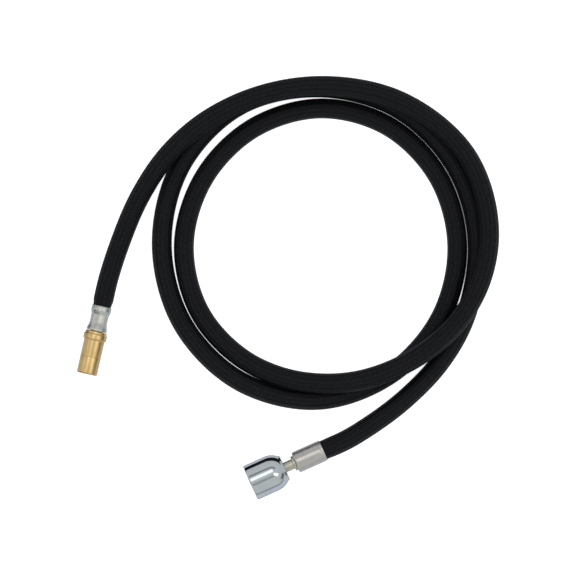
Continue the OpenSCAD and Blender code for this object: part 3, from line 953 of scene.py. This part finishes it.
    @staticmethod
    def closing_faces(picked: np.ndarray, rows: int, columns: int) -> list[list[int]]:
        """Faces of the sleeve's inside and of its two ends.

        Args:
            picked: The rings that the inside keeps.
            rows: Rings on the outside.
            columns: Points on a ring.

        Returns:
            The corner numbers of each face.
        """
        c = np.arange(columns)
        beside = (c + 1) % columns
        inner = rows * columns + np.arange(len(picked)) * columns
        made = []
        for k, odd in enumerate(picked[:-1] % 2):
            # An odd ring starts half a column on, so the next ring is met from its side.
            ahead = int(odd > picked[k + 1] % 2)
            low, high = inner[k], inner[k + 1]
            tips = [high + (point + ahead) % columns for point in (c, beside)]
            made.append([low + beside, low + c, *tips])
        # At each end a triangle squares off each diamond, and a quad closes the wall.
        last, before = (rows - 1) * columns, (rows - 2) * columns
        tip = beside if (rows - 1) % 2 else c
        made.append([c, beside, columns + c])
        made.append([beside, c, inner[0] + c, inner[0] + beside])
        made.append([last + beside, last + c, before + tip])
        made.append([last + c, last + beside, inner[-1] + beside, inner[-1] + c])
        return [face for strip in made for face in np.stack(strip, axis=-1).tolist()]

    def paint_yarns(
        self,
        mesh: bpy.types.Mesh,
        faces: np.ndarray,
        yarn_map: np.ndarray,
        height: np.ndarray,
        yarn: np.ndarray,
    ) -> None:
        """Stores what the nylon finish reads: the yarn map, the height and each yarn's tone.

        Args:
            mesh: The sleeve's mesh, with the woven faces first.
            faces: The woven faces.
            yarn_map: Across and along the yarn on top, at each corner.
            height: Height from 0 to 1 at each woven point.
            yarn: The yarn on top of each face.
        """
        tones = np.random.default_rng(self.tone_seed).random(2 * self.yarns)
        corners = np.zeros((len(mesh.loops), 2), np.float32)
        corners[: faces.size] = yarn_map.reshape(-1, 2)
        mesh.uv_layers.new(name="yarn").data.foreach_set("uv", corners.ravel())
        heights = np.zeros(len(mesh.vertices), np.float32)
        heights[: len(height)] = height
        mesh.attributes.new("yarn_height", "FLOAT", "POINT").data.foreach_set("value", heights)
        tone = np.full(len(mesh.polygons), 0.5, np.float32)
        tone[: len(yarn)] = tones[yarn]
        mesh.attributes.new("yarn_tone", "FLOAT", "FACE").data.foreach_set("value", tone)


# ---- Spray end -----------------------------------------------------------------------


@dataclass(frozen=True)
class SprayEnd:
    """The stainless ferrule, the nickel-plated stem that it closes on, and the washer.

    Attributes:
        end_round: Rounding of the ferrule's closed end.
        tail_start: Local z of the barbed tail's end in the hose.
        tail_radius: Radius over the barbs.
        barb: Depth of a barb.
        barb_back: Length of a barb's steep side.
        shoulder: Local z where the tail ends in its shoulder.
        collar_radius: Radius of the shoulder and of the collar.
        hook_radius: Radius of the groove that the ferrule closes into.
        collar_top: Local z of the collar's front.
        head_back: Local z of the head's back.
        head_front: Local z of the head's front, which the washer lies on.
        washer_front: Local z of the washer's front.
    """

    ferrule_radius: float = 7.1
    ferrule_wall: float = 0.5
    ferrule_length: float = 20.0
    end_wall: float = 0.6
    end_round: float = 1.4
    tail_start: float = 2.0
    tail_radius: float = 3.81
    barbs: int = 4
    barb: float = 0.35
    barb_back: float = 0.4
    shoulder: float = 17.9
    shoulder_length: float = 1.4
    collar_radius: float = 5.0
    hook_radius: float = 4.0
    collar_top: float = 21.6
    neck_radius: float = 3.4
    bore_radius: float = 2.5
    head_back: float = 34.6
    head_front: float = 36.6
    head_radius: float = 9.016
    washer_front: float = 38.6
    washer_radius: float = 9.216
    washer_hole: float = 4.5

    def build(self) -> None:
        """Builds every piece of the spray end that doesn't move."""
        turning = Turning(SPRAY_AXIS)
        self.build_ferrule(turning)
        self.build_stem(turning)
        self.build_washer(turning)

    def build_ferrule(self, turning: Turning) -> None:
        """The drawn shell, with a bead at the hose and spun closed on to the stem."""
        r, wall, end = self.ferrule_radius, self.ferrule_wall, self.ferrule_length
        hook = self.hook_radius + 0.05
        outline = [
            (r - wall, 0.0, 0.12),
            (r - 0.1, 0.0, 0.12),
            (r, 0.35, 0.3),
            (r, 1.2, 0.25),
            (r - 0.16, 1.5, 0.2),
            (r - 0.02, 2.0, 0.3),
            (r, 3.2, 0.5),
            *arc((r - self.end_round, end - self.end_round), self.end_round, 0, 90, 10),
            (hook, end, 0.12),
            (hook, end - self.end_wall, 0.1),
            (r - self.end_round, end - self.end_wall, 0.1),
            (r - wall, end - self.end_round, 0.3),
        ]
        shell = turning.turn("spray_ferrule_shell", outline, STAINLESS)
        fit(shell, Body.HOSE, "spray_ferrule", "spray_ferrule")

    def build_stem(self, turning: Turning) -> None:
        """The turned stem: barbed tail, hook groove, collar, neck and flat head."""
        pitch = (self.shoulder - self.tail_start) / self.barbs
        teeth: Corners = []
        for k in range(self.barbs):
            teeth.append((self.tail_radius - self.barb, self.tail_start + k * pitch))
            teeth.append((self.tail_radius, self.tail_start + (k + 1) * pitch - self.barb_back))
        hook_back = self.shoulder + self.shoulder_length
        outline = [
            (self.bore_radius, self.tail_start, 0.1),
            *teeth,
            (self.tail_radius, self.shoulder),
            (self.collar_radius, self.shoulder, 0.1),
            (self.collar_radius, hook_back, 0.1),
            (self.hook_radius, hook_back),
            (self.hook_radius, self.ferrule_length + 0.1),
            (self.collar_radius, self.ferrule_length + 0.1, 0.15),
            (self.collar_radius, self.collar_top, 0.35),
            (self.neck_radius, self.collar_top, 0.3),
            (self.neck_radius, self.head_back, 0.25),
            (self.head_radius, self.head_back, 0.2),
            (self.head_radius, self.head_front, 0.2),
            (self.bore_radius, self.head_front, 0.25),
        ]
        stem = turning.turn("stem_turning", outline, NICKEL)
        fit(stem, Body.HOSE, "nickel", "spray_stem")

    def build_washer(self, turning: Turning) -> None:
        """The flat washer, with the edge rounding that moulding gives it."""
        outline = [
            (self.washer_hole, self.head_front, 0.15),
            (self.washer_radius, self.head_front, 0.15),
            (self.washer_radius, self.washer_front, 0.3),
            (self.washer_hole, self.washer_front, 0.3),
        ]
        washer = turning.turn("sealing_washer", outline, RUBBER)
        fit(washer, Body.HOSE, "rubber", "spray_washer")


@dataclass(frozen=True)
class BellNut:
    """The chrome bell nut with its G 1/2 thread, and the slip ring behind it.

    Attributes:
        radius: Outside radius of the straight skirt.
        back: Local z of the end face.
        length: Length of the nut.
        straight: Length of the straight skirt.
        fall: How far the shoulder falls in from the skirt.
        corner: Rounding between the shoulder and the end face.
        rim_round: Rounding of the open rim.
        line_back: How far the turned line lies behind the rim.
        line_depth: Depth of the turned line.
        hole_radius: Hole that the neck passes through.
        end_wall: Solid end behind the slip ring.
        cavity_radius: Radius behind the thread.
        minor_radius: Radius over the thread's crests.
        thread_depth: Height of the thread.
        thread_pitch: Pitch of the thread.
        thread_length: Length of the thread.
        steps_per_pitch: Mesh rings on one pitch.
        fade: Length over which the thread runs out into the cavity.
        ring_back: Local z of the slip ring's back.
        ring_front: Local z of its front.
        ring_gap: Gap between the slip ring and the cavity.
        neck_hole: Hole of the slip ring, which runs on the stem's neck.
    """

    radius: float = 11.9975
    back: float = 27.5
    length: float = 24.6
    straight: float = 15.0
    fall: float = 3.4
    corner: float = 1.1
    rim_round: float = 0.9
    line_back: float = 1.35
    line_depth: float = 0.16
    hole_radius: float = 3.65
    end_wall: float = 5.9
    cavity_radius: float = 9.576
    minor_radius: float = 9.316
    thread_depth: float = 1.1615
    thread_pitch: float = 1.814
    thread_length: float = 12.0
    steps_per_pitch: int = 16
    fade: float = 0.9
    ring_back: float = 33.5
    ring_front: float = 34.5
    ring_gap: float = 0.3
    neck_hole: float = 3.45

    def build(self) -> None:
        """Builds the nut and its slip ring."""
        self.build_nut(Turning(SPRAY_AXIS, sides=160))
        outer = self.cavity_radius - self.ring_gap
        ring = [
            (self.neck_hole, self.ring_back, 0.1),
            (outer, self.ring_back, 0.15),
            (outer, self.ring_front, 0.15),
            (self.neck_hole, self.ring_front, 0.1),
        ]
        slip = Turning(SPRAY_AXIS).turn("slip_ring", ring, ACETAL)
        fit(slip, Body.NUT_SLIDER, "acetal", "nut_slip_ring")

    def outside(self) -> Corners:
        """Outline from the neck's hole round the shoulder and the rim to the thread."""
        front = self.back + self.length
        straight_z = front - self.straight
        shoulder_z = self.back + self.corner
        rise = straight_z - shoulder_z
        curve = (self.fall**2 + rise**2) / (2 * self.fall)
        end = math.degrees(math.asin(rise / curve))
        corner_r = self.radius - self.fall - self.corner * math.cos(math.radians(end))
        return [
            (self.hole_radius, self.back, 0.3),
            *arc((corner_r, shoulder_z), self.corner, -90, -end, 8),
            *arc((self.radius - curve, straight_z), curve, -end, 0, 28)[1:],
            (self.radius, front - self.line_back),
            (self.radius - self.line_depth, front - self.line_back + 0.06),
            (self.radius - self.line_depth, front - self.line_back + 0.24),
            (self.radius, front - self.line_back + 0.3),
            *arc((self.radius - self.rim_round, front - self.rim_round), self.rim_round, 0, 90, 10),
            (self.minor_radius + 1.15, front, 0.15),
        ]

    def build_nut(self, turning: Turning) -> None:
        """Turns the nut and cuts its right-handed thread.

        Args:
            turning: The lathe, with enough sides for the thread.
        """
        start = self.back + self.length - 1.0
        end = start - self.thread_length
        count = round(self.thread_length / self.thread_pitch * self.steps_per_pitch)
        cut = [(self.minor_radius, start - self.thread_length * k / count) for k in range(count + 1)]
        inside = [
            (self.cavity_radius, end - 0.3, 0.1),
            (self.cavity_radius, self.back + self.end_wall, 0.3),
            (self.hole_radius, self.back + self.end_wall, 0.2),
        ]
        # The flank from the rim into the first thread is cut with the thread itself.
        shell = eased([*self.outside(), (self.minor_radius, start + 0.05), (self.minor_radius, end), *inside])
        first = next(k for k, p in enumerate(shell) if p == (self.minor_radius, start + 0.05))
        outline = [*shell[:first], *cut, *shell[first + 2 :]]
        radius, angle, height = turning.grid(outline)
        rows = slice(first, first + count + 1)
        phase = (height[rows] / self.thread_pitch - angle[rows] / (2 * math.pi)) % 1.0
        # Rounded crests and roots, as a rolled or tapped pipe thread has them.
        tooth = 0.5 - 0.5 * np.cos(2 * math.pi * phase)
        depth = np.clip(1.25 * tooth - 0.12, 0, 1) * self.thread_depth
        fade = np.clip((height[rows] - end) / self.fade, 0, 1)
        radius[rows] += depth * fade
        radius[rows][0] = self.minor_radius
        nut = turning.close("bell_nut_shell", (radius, angle, height), CHROME)
        fit(nut, Body.BELL_NUT, "chrome", "swivel_nut")


# ---- Supply end ----------------------------------------------------------------------


@dataclass(frozen=True)
class SupplyEnd:
    """The crimped ferrule and the brass insert that the connector turns on.

    Attributes:
        length: Length of the ferrule.
        lip: Radius of the rolled lip.
        waist: Radius of the crimped waist.
        flare: Radius of the flared end.
        hole: Hole in its closed end, round the insert's neck.
        roll: Radius of the rolled lip's edge.
        dies: Jaws of the crimping tool, each of which leaves a flat.
        flat_depth: How far a flat's middle lies below its ridges.
        mesh_step: Longest mesh step along the ferrule.
    """

    length: float = 16.5
    lip: float = 6.55
    waist: float = 5.55
    flare: float = 6.75
    wall: float = 0.5
    end_wall: float = 0.6
    hole: float = 3.65
    roll: float = 0.55
    dies: int = 8
    flat_depth: float = 0.3
    mesh_step: float = 0.5

    def build(self) -> None:
        """Builds the ferrule and dresses the insert and its seals."""
        self.build_ferrule()
        # The insert's brass is painted dark: painted shade for the narrow gap between the ferrule and the
        # connector.
        dress(GAP_SHADE_BRASS, SUPPLY_AXIS, "supply_insert")
        dress(RUBBER, SUPPLY_AXIS, "swivel_o_ring_front", "swivel_o_ring_rear")

    def build_ferrule(self) -> None:
        """Rolls the lip, crimps the waist with eight jaws and flares the end."""
        end, inner_end = self.length, self.length - self.end_wall
        outline = [
            *arc((self.lip - self.roll, self.roll), self.roll, -120, 40, 10),
            (self.lip - 0.12, 1.5, 0.6),
            (self.lip - 0.05, 3.2, 1.2),
            (self.waist + 0.1, 5.6, 2.5),
            (self.waist, 11.2, 3.0),
            (self.flare - 0.1, 15.3, 0.8),
            (self.flare, end - 0.25, 0.2),
            (self.flare - 0.25, end, 0.15),
            (self.hole, end, 0.1),
            (self.hole, inner_end, 0.1),
            (self.flare - self.wall, inner_end, 0.1),
            (self.waist - self.wall, 12.4, 1.5),
            (self.waist + 0.1 - self.wall, 5.6, 2.0),
            (self.lip - self.wall - 0.05, 2.5, 0.5),
        ]
        turning = Turning(SUPPLY_AXIS, sides=192)
        radius, angle, height = turning.grid(self.refined(eased(outline), self.mesh_step))
        # The jaws press from just behind the lip to just short of the flare.
        pressed = np.clip((height - 2.6) / 1.8, 0, 1) * np.clip((14.0 - height) / 1.6, 0, 1)
        pressed = pressed**2 * (3 - 2 * pressed)
        share = 2 * math.pi / self.dies
        off = (angle % share) - share / 2
        flat = (np.cos(off) ** -1 - 1) / (1 / math.cos(share / 2) - 1)
        radius += pressed * self.flat_depth * (flat - 0.62)
        ferrule = turning.close("crimped_ferrule", (radius, angle, height), CRIMPED_STEEL)
        fit(ferrule, Body.HOSE, "supply_ferrule", "supply_ferrule")

    @staticmethod
    def refined(outline: Outline, step: float) -> Outline:
        """Adds points on the long stretches of a closed outline.

        Args:
            outline: The outline.
            step: Longest stretch left, in millimetres.

        Returns:
            The refined outline.
        """
        made: Outline = []
        for k, here in enumerate(outline):
            ahead = outline[(k + 1) % len(outline)]
            count = max(1, math.ceil(math.dist(here, ahead) / step))
            for part in range(count):
                share = part / count
                made.append((here[0] + (ahead[0] - here[0]) * share, here[1] + (ahead[1] - here[1]) * share))
        return made


@dataclass(frozen=True)
class Connector:
    """The brass push-in connector: body with its latching collar, and nose.

    Attributes:
        back: Local z where the body's rear edge starts.
        collar_back: Local z where the collar's rounding is measured from.
        seam: Local z where the nose is screwed to the body.
        front: Local z of the nose's front.
        radius: Outside radius.
        collar_radius: Radius of the latching collar.
        collar_length: Length of the collar.
        collar_round: Rounding of the collar's edges.
        nose_round: Rounding of the nose's front edge.
        groove_depth: Depth of the turned line at the seam.
        bore: Radius of the swivel's bore.
        ring_seat: Radius of the retaining ring's seat.
        ring_back: Local z of the seat's back.
        ring_front: Local z of its front.
        mouth: Radius of the rear mouth.
        shank: Radius of the nose's shank, inside the body.
        pocket: Radius of the valve's pocket.
        pocket_front: Local z of the pocket's front.
        lip_hole: Radius of the hole in the nose's lip.
    """

    back: float = 16.85
    collar_back: float = 17.3
    seam: float = 33.8
    front: float = 45.3
    radius: float = 6.7
    collar_radius: float = 7.6
    collar_length: float = 5.4
    collar_round: float = 1.0
    nose_round: float = 1.1
    groove_depth: float = 0.15
    bore: float = 5.25
    ring_seat: float = 6.0
    ring_back: float = 19.25
    ring_front: float = 20.15
    mouth: float = 5.5
    shank: float = 5.2
    shank_back: float = 27.4
    pocket: float = 4.55
    pocket_front: float = 44.0
    lip_hole: float = 3.2

    def build(self) -> None:
        """Builds the two halves and dresses the retaining ring."""
        turning = Turning(SUPPLY_AXIS, sides=144)
        self.build_body(turning)
        self.build_nose(turning)
        dress(SPRING_STEEL, SUPPLY_AXIS, "swivel_snap_ring")

    def build_body(self, turning: Turning) -> None:
        """The rear half: rounded collar outside, swivel bore and ring seat inside."""
        collar_end = self.collar_back + self.collar_length
        bulge = self.collar_radius - self.collar_round
        outline = [
            (self.mouth, self.back, 0.15),
            (bulge + 0.35, self.back, 0.4),
            *arc((bulge, self.collar_back + 2 * self.collar_round), self.collar_round, -60, 0, 8),
            *arc((bulge, collar_end - self.collar_round), self.collar_round, 0, 60, 8),
            (self.radius, collar_end, 0.2),
            (self.radius, self.seam, 0.12),
            (self.bore, self.seam),
            (self.bore, self.ring_front),
            (self.ring_seat, self.ring_front),
            (self.ring_seat, self.ring_back),
            (self.mouth, self.ring_back),
        ]
        body = turning.turn("connector_rear_half", outline, BRASS, steps=8)
        fit(body, Body.CONNECTOR, "brass", "connector_body")

    def build_nose(self, turning: Turning) -> None:
        """The front half: turned line at the seam, rounded front and valve pocket."""
        outline = [
            (self.pocket, self.shank_back),
            (self.shank, self.shank_back),
            (self.shank, self.seam),
            (self.radius - self.groove_depth, self.seam),
            (self.radius, self.seam + self.groove_depth, 0.05),
            (self.radius, self.front, self.nose_round),
            (self.lip_hole, self.front, 0.4),
            (self.lip_hole, self.pocket_front),
            (self.pocket, self.pocket_front),
        ]
        nose = turning.turn("connector_front_half", outline, BRASS, steps=8)
        fit(nose, Body.CONNECTOR, "brass", "connector_nose")


@dataclass(frozen=True)
class CheckValve:
    """The cartridge in the nose. Its solids keep their shape, but for the spring.

    Attributes:
        spring_back: Local z of the spring's seat on the guide.
        spring_front: Local z where it presses on the poppet.
        spring_radius: Mean radius of the coil.
        wire: Diameter of the wire.
        turns: Turns of the coil.
        travel: How far the poppet shortens it.
    """

    spring_back: float = 35.05
    spring_front: float = 41.05
    spring_radius: float = 2.1
    wire: float = 0.4
    turns: int = 5
    steps_per_turn: int = 40
    wire_sides: int = 12
    travel: float = 2.0

    def build(self) -> None:
        """Dresses each piece of the valve and winds its spring."""
        dress(BLUE_ACETAL, SUPPLY_AXIS, "check_valve_housing")
        dress(ACETAL, SUPPLY_AXIS, "check_valve_guide", "check_valve_poppet")
        dress(RUBBER, SUPPLY_AXIS, "check_valve_o_ring", "check_valve_face_seal")
        self.wind_spring()

    def wind_spring(self) -> None:
        """Winds the coil spring between its seat on the guide and the poppet."""
        radius = self.wire / 2
        start, end = self.spring_back + radius, self.spring_front - radius
        share = np.linspace(0, 1, self.turns * self.steps_per_turn + 1)[:, None]
        turn = 2 * math.pi * self.turns * share
        around = 2 * math.pi * np.arange(self.wire_sides)[None, :] / self.wire_sides
        reach = self.spring_radius + radius * np.cos(around)
        height = start + (end - start) * share + radius * np.sin(around)
        local = np.stack([reach * np.cos(turn), reach * np.sin(turn), height], axis=-1)
        rings, sides = local.shape[:2]
        # The wire's rings, but for the last one's way back to the first, and its two ends.
        faces = grid_faces(rings, sides)[: (rings - 1) * sides].tolist()
        faces.append(list(range(sides - 1, -1, -1)))
        faces.append(list(range((rings - 1) * sides, rings * sides)))
        points = SUPPLY_AXIS.place(local.reshape(-1, 3))
        spring = new_piece("valve_coil_spring", points, faces, SPRING_STEEL.make(SUPPLY_AXIS))
        fit(spring, Body.CONNECTOR, "spring_steel", "check_valve_spring")
        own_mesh(spring)


# ---- Studio --------------------------------------------------------------------------


@dataclass(frozen=True)
class Softbox:
    """A square or oblong softbox.

    Attributes:
        name: Its name.
        place: Where it hangs, in metres.
        aim: The point that it faces.
        size: Its two sides.
        watts: Its power.
        tint: Its colour.
    """

    name: str
    place: tuple[float, float, float]
    aim: tuple[float, float, float]
    size: tuple[float, float]
    watts: float
    tint: str = "#ffffff"

    def hang(self) -> None:
        """Hangs the softbox, out of the camera's own sight."""
        light = bpy.data.lights.new(self.name, "AREA")
        light.shape = "RECTANGLE"
        light.size, light.size_y = self.size
        light.energy = self.watts
        light.color = srgb(self.tint)[:3]
        lamp = bpy.data.objects.new(self.name, light)
        lamp.location = self.place
        lamp.rotation_mode = "QUATERNION"
        lamp.rotation_quaternion = (Vector(self.aim) - Vector(self.place)).to_track_quat("-Z", "Y")
        lamp.visible_camera = False
        bpy.context.scene.collection.objects.link(lamp)


@dataclass(frozen=True)
class TentPatch:
    """A place where the tent's cloth is darker or lighter than the rest; below the horizon, a
    painted shadow of the pieces on the table, as the metals mirror it.

    Attributes:
        compass: Its middle, in degrees from +X.
        reach: How far it goes to each side, in degrees.
        heights: Its lower and upper edge, in degrees over the horizon.
        shade: Its colour.
        soft: Half the width of its upper and lower edges, in degrees.
        side_soft: Half the width of its left and right edges, in degrees.
    """

    compass: float
    reach: float
    heights: tuple[float, float]
    shade: str
    soft: float = 1.5
    side_soft: float = 6.0

    def paint(
        self,
        tree: bpy.types.NodeTree,
        tone: bpy.types.NodeSocket,
        level: bpy.types.NodeSocket,
        height: bpy.types.NodeSocket,
    ) -> bpy.types.NodeSocket:
        """Paints the patch over the tent's tone.

        Args:
            tree: The world's tree.
            tone: The tone so far.
            level: Level unit direction.
            height: Sine of the height over the horizon.

        Returns:
            The tone with this patch in it.
        """
        turn = math.radians(self.compass)
        facing = add_node(
            tree,
            "ShaderNodeVectorMath",
            {"operation": "DOT_PRODUCT", 1: (math.cos(turn), math.sin(turn), 0.0)},
            {0: level},
        )
        sides = [math.cos(math.radians(self.reach + s * self.side_soft)) for s in (1, -1)]
        share = self.step(tree, facing.outputs["Value"], sides)
        for edge, rising in zip(self.heights, (1, -1), strict=True):
            ends = [math.sin(math.radians(edge + s * rising * self.soft)) for s in (-1, 1)]
            links = {0: share, 1: self.step(tree, height, ends)}
            share = add_node(tree, "ShaderNodeMath", {"operation": "MULTIPLY"}, links).outputs[0]
        settings = {"data_type": "RGBA", 7: srgb(self.shade)}
        return add_node(tree, "ShaderNodeMix", settings, {0: share, 6: tone}).outputs[2]

    @staticmethod
    def step(
        tree: bpy.types.NodeTree, value: bpy.types.NodeSocket, ends: list[float]
    ) -> bpy.types.NodeSocket:
        """Rises smoothly from 0 at the first end to 1 at the second."""
        settings = {"interpolation_type": "SMOOTHSTEP", 1: ends[0], 2: ends[1]}
        return add_node(tree, "ShaderNodeMapRange", settings, {0: value}).outputs[0]


@dataclass(frozen=True)
class Studio:
    """The camera over the table, the table's pale top and the soft lights.

    Attributes:
        camera_height: Height of the camera over the table, in metres.
        view_width: Width that the picture takes in.
        view_height: Height over the table at which it does so, which is amid the hose.
        aim: Point on the table under the camera.
        sensor: Width of the camera's sensor in millimetres.
        table_size: Side of the table top.
        drop: How far the table's face lies below the lowest point, so they don't touch.
        backlight: Light that the table's top gives off.
        boxes: The softboxes.
        cloth: Colour of the tent by height: 0 is straight down, 1 is straight up. It is
            darker straight down as a painted shadow of the pieces on the table, as the metals mirror it.
        patches: The darker and lighter places of the tent.
    """

    camera_height: float = 5.0
    view_width: float = 0.3744
    view_height: float = 0.01
    aim: tuple[float, float] = (0.0005, 0.0)
    sensor: float = 36.0
    table_size: float = 8.0
    drop: float = 0.2 * MM
    backlight: float = 0.92
    boxes: tuple[Softbox, ...] = (
        Softbox("overhead", (-0.21, 0.28, 1.6), (-0.03, -0.12, 0.0), (1.0, 0.5), 1.25),
        Softbox("right", (0.79, -0.24, 1.5), (-0.12, -0.04, 0.0), (0.5, 0.9), 1.5, "#fff6ea"),
    )
    cloth: tuple[tuple[float, str], ...] = (
        # Darker straight down: painted shadow of the pieces on the table, as the metals mirror it.
        (0.0, "#8b8f93"),
        (0.12, "#cbd0d6"),
        (0.49, "#d0d5da"),
        (0.51, "#c4cac9"),
        (1.0, "#cfd2d0"),
    )
    patches: tuple[TentPatch, ...] = (
        TentPatch(-66, 60, (8, 86), "#cbd0cd"),
        TentPatch(-66, 60, (64, 80), "#a5abab"),
        TentPatch(167, 26, (24, 88), "#fbf8f0"),
        # Below the horizon: painted shadow of the pieces on the table, as the metals mirror it.
        TentPatch(114, 50, (-33, -2), "#040506"),
        TentPatch(198, 10, (-25, 52), "#2c2e30"),
        TentPatch(-13, 14, (3, 24), "#787674"),
        TentPatch(114, 60, (44, 55), "#8f8d90"),
        # Low down: painted shadow of the pieces on the table, as the metals mirror it.
        TentPatch(-66, 40, (-10, 7), "#a6abad"),
    )

    def set_camera(self) -> None:
        """Puts the camera straight over the table, with +Y up in the picture."""
        data = bpy.data.cameras.new("over_the_table")
        data.sensor_width = self.sensor
        data.lens = self.sensor * (self.camera_height - self.view_height) / self.view_width
        data.clip_start, data.clip_end = 0.1, 50.0
        camera = bpy.data.objects.new("over_the_table", data)
        camera.location = (self.aim[0], self.aim[1], self.camera_height)
        bpy.context.scene.collection.objects.link(camera)
        bpy.context.scene.camera = camera

    def light(self) -> None:
        """Hangs the softboxes and fills the room with pale light."""
        for box in self.boxes:
            box.hang()
        self.paint_room()
        bpy.context.scene.view_settings.view_transform = "Standard"

    def paint_room(self) -> None:
        """Makes the room: a pale tent, greyer below the table, with its patches."""
        world = bpy.data.worlds.new("light_tent")
        bpy.context.scene.world = world
        world.use_nodes = True
        tree = world.node_tree
        tree.nodes.clear()
        direction = add_node(tree, "ShaderNodeTexCoord").outputs["Generated"]
        height = add_node(tree, "ShaderNodeSeparateXYZ", links={"Vector": direction}).outputs["Z"]
        tone = add_ramp(tree, add_range(tree, height, 0.0, 1.0, -1.0, 1.0), self.cloth)
        level = direction
        for settings in ({"operation": "MULTIPLY", 1: (1, 1, 0)}, {"operation": "NORMALIZE"}):
            level = add_node(tree, "ShaderNodeVectorMath", settings, {0: level}).outputs[0]
        for patch in self.patches:
            tone = patch.paint(tree, tone, level, height)
        background = add_node(tree, "ShaderNodeBackground", {"Strength": 1.0}, {"Color": tone})
        add_node(tree, "ShaderNodeOutputWorld", links={"Surface": background.outputs[0]})

    def lay_table(self) -> None:
        """Lays the table's top, a sheet of pale acrylic lit from below."""
        material = bpy.data.materials.new("backlit_acrylic")
        material.use_nodes = True
        shader = material.node_tree.nodes["Principled BSDF"]
        for name, value in (
            ("Base Color", srgb("#e4e6ea")),
            ("Roughness", 0.9),
            ("Specular IOR Level", 0.1),
            ("Emission Color", srgb("#ffffff")),
            ("Emission Strength", self.backlight),
        ):
            shader.inputs[name].default_value = value
        half = self.table_size / 2
        points = np.array([[-half, -half, 0], [half, -half, 0], [half, half, 0], [-half, half, 0]])
        table = new_piece("table_top", points - np.array([0, 0, self.drop]), [[0, 1, 2, 3]], material)
        # Its mirror image in the metals is the tent's grey foot, painted in the room.
        table.visible_glossy = False


def main() -> None:
    """Builds the studio, the hose and its two ends, in that order."""
    logging.basicConfig(level=logging.INFO, format="%(message)s")
    studio = Studio()
    studio.set_camera()
    SprayEnd().build()
    hose = Hose()
    hose.build_sleeve()
    hose.build_liner()
    BellNut().build()
    SupplyEnd().build()
    Connector().build()
    CheckValve().build()
    studio.lay_table()
    studio.light()


if __name__ == "__main__":
    main()
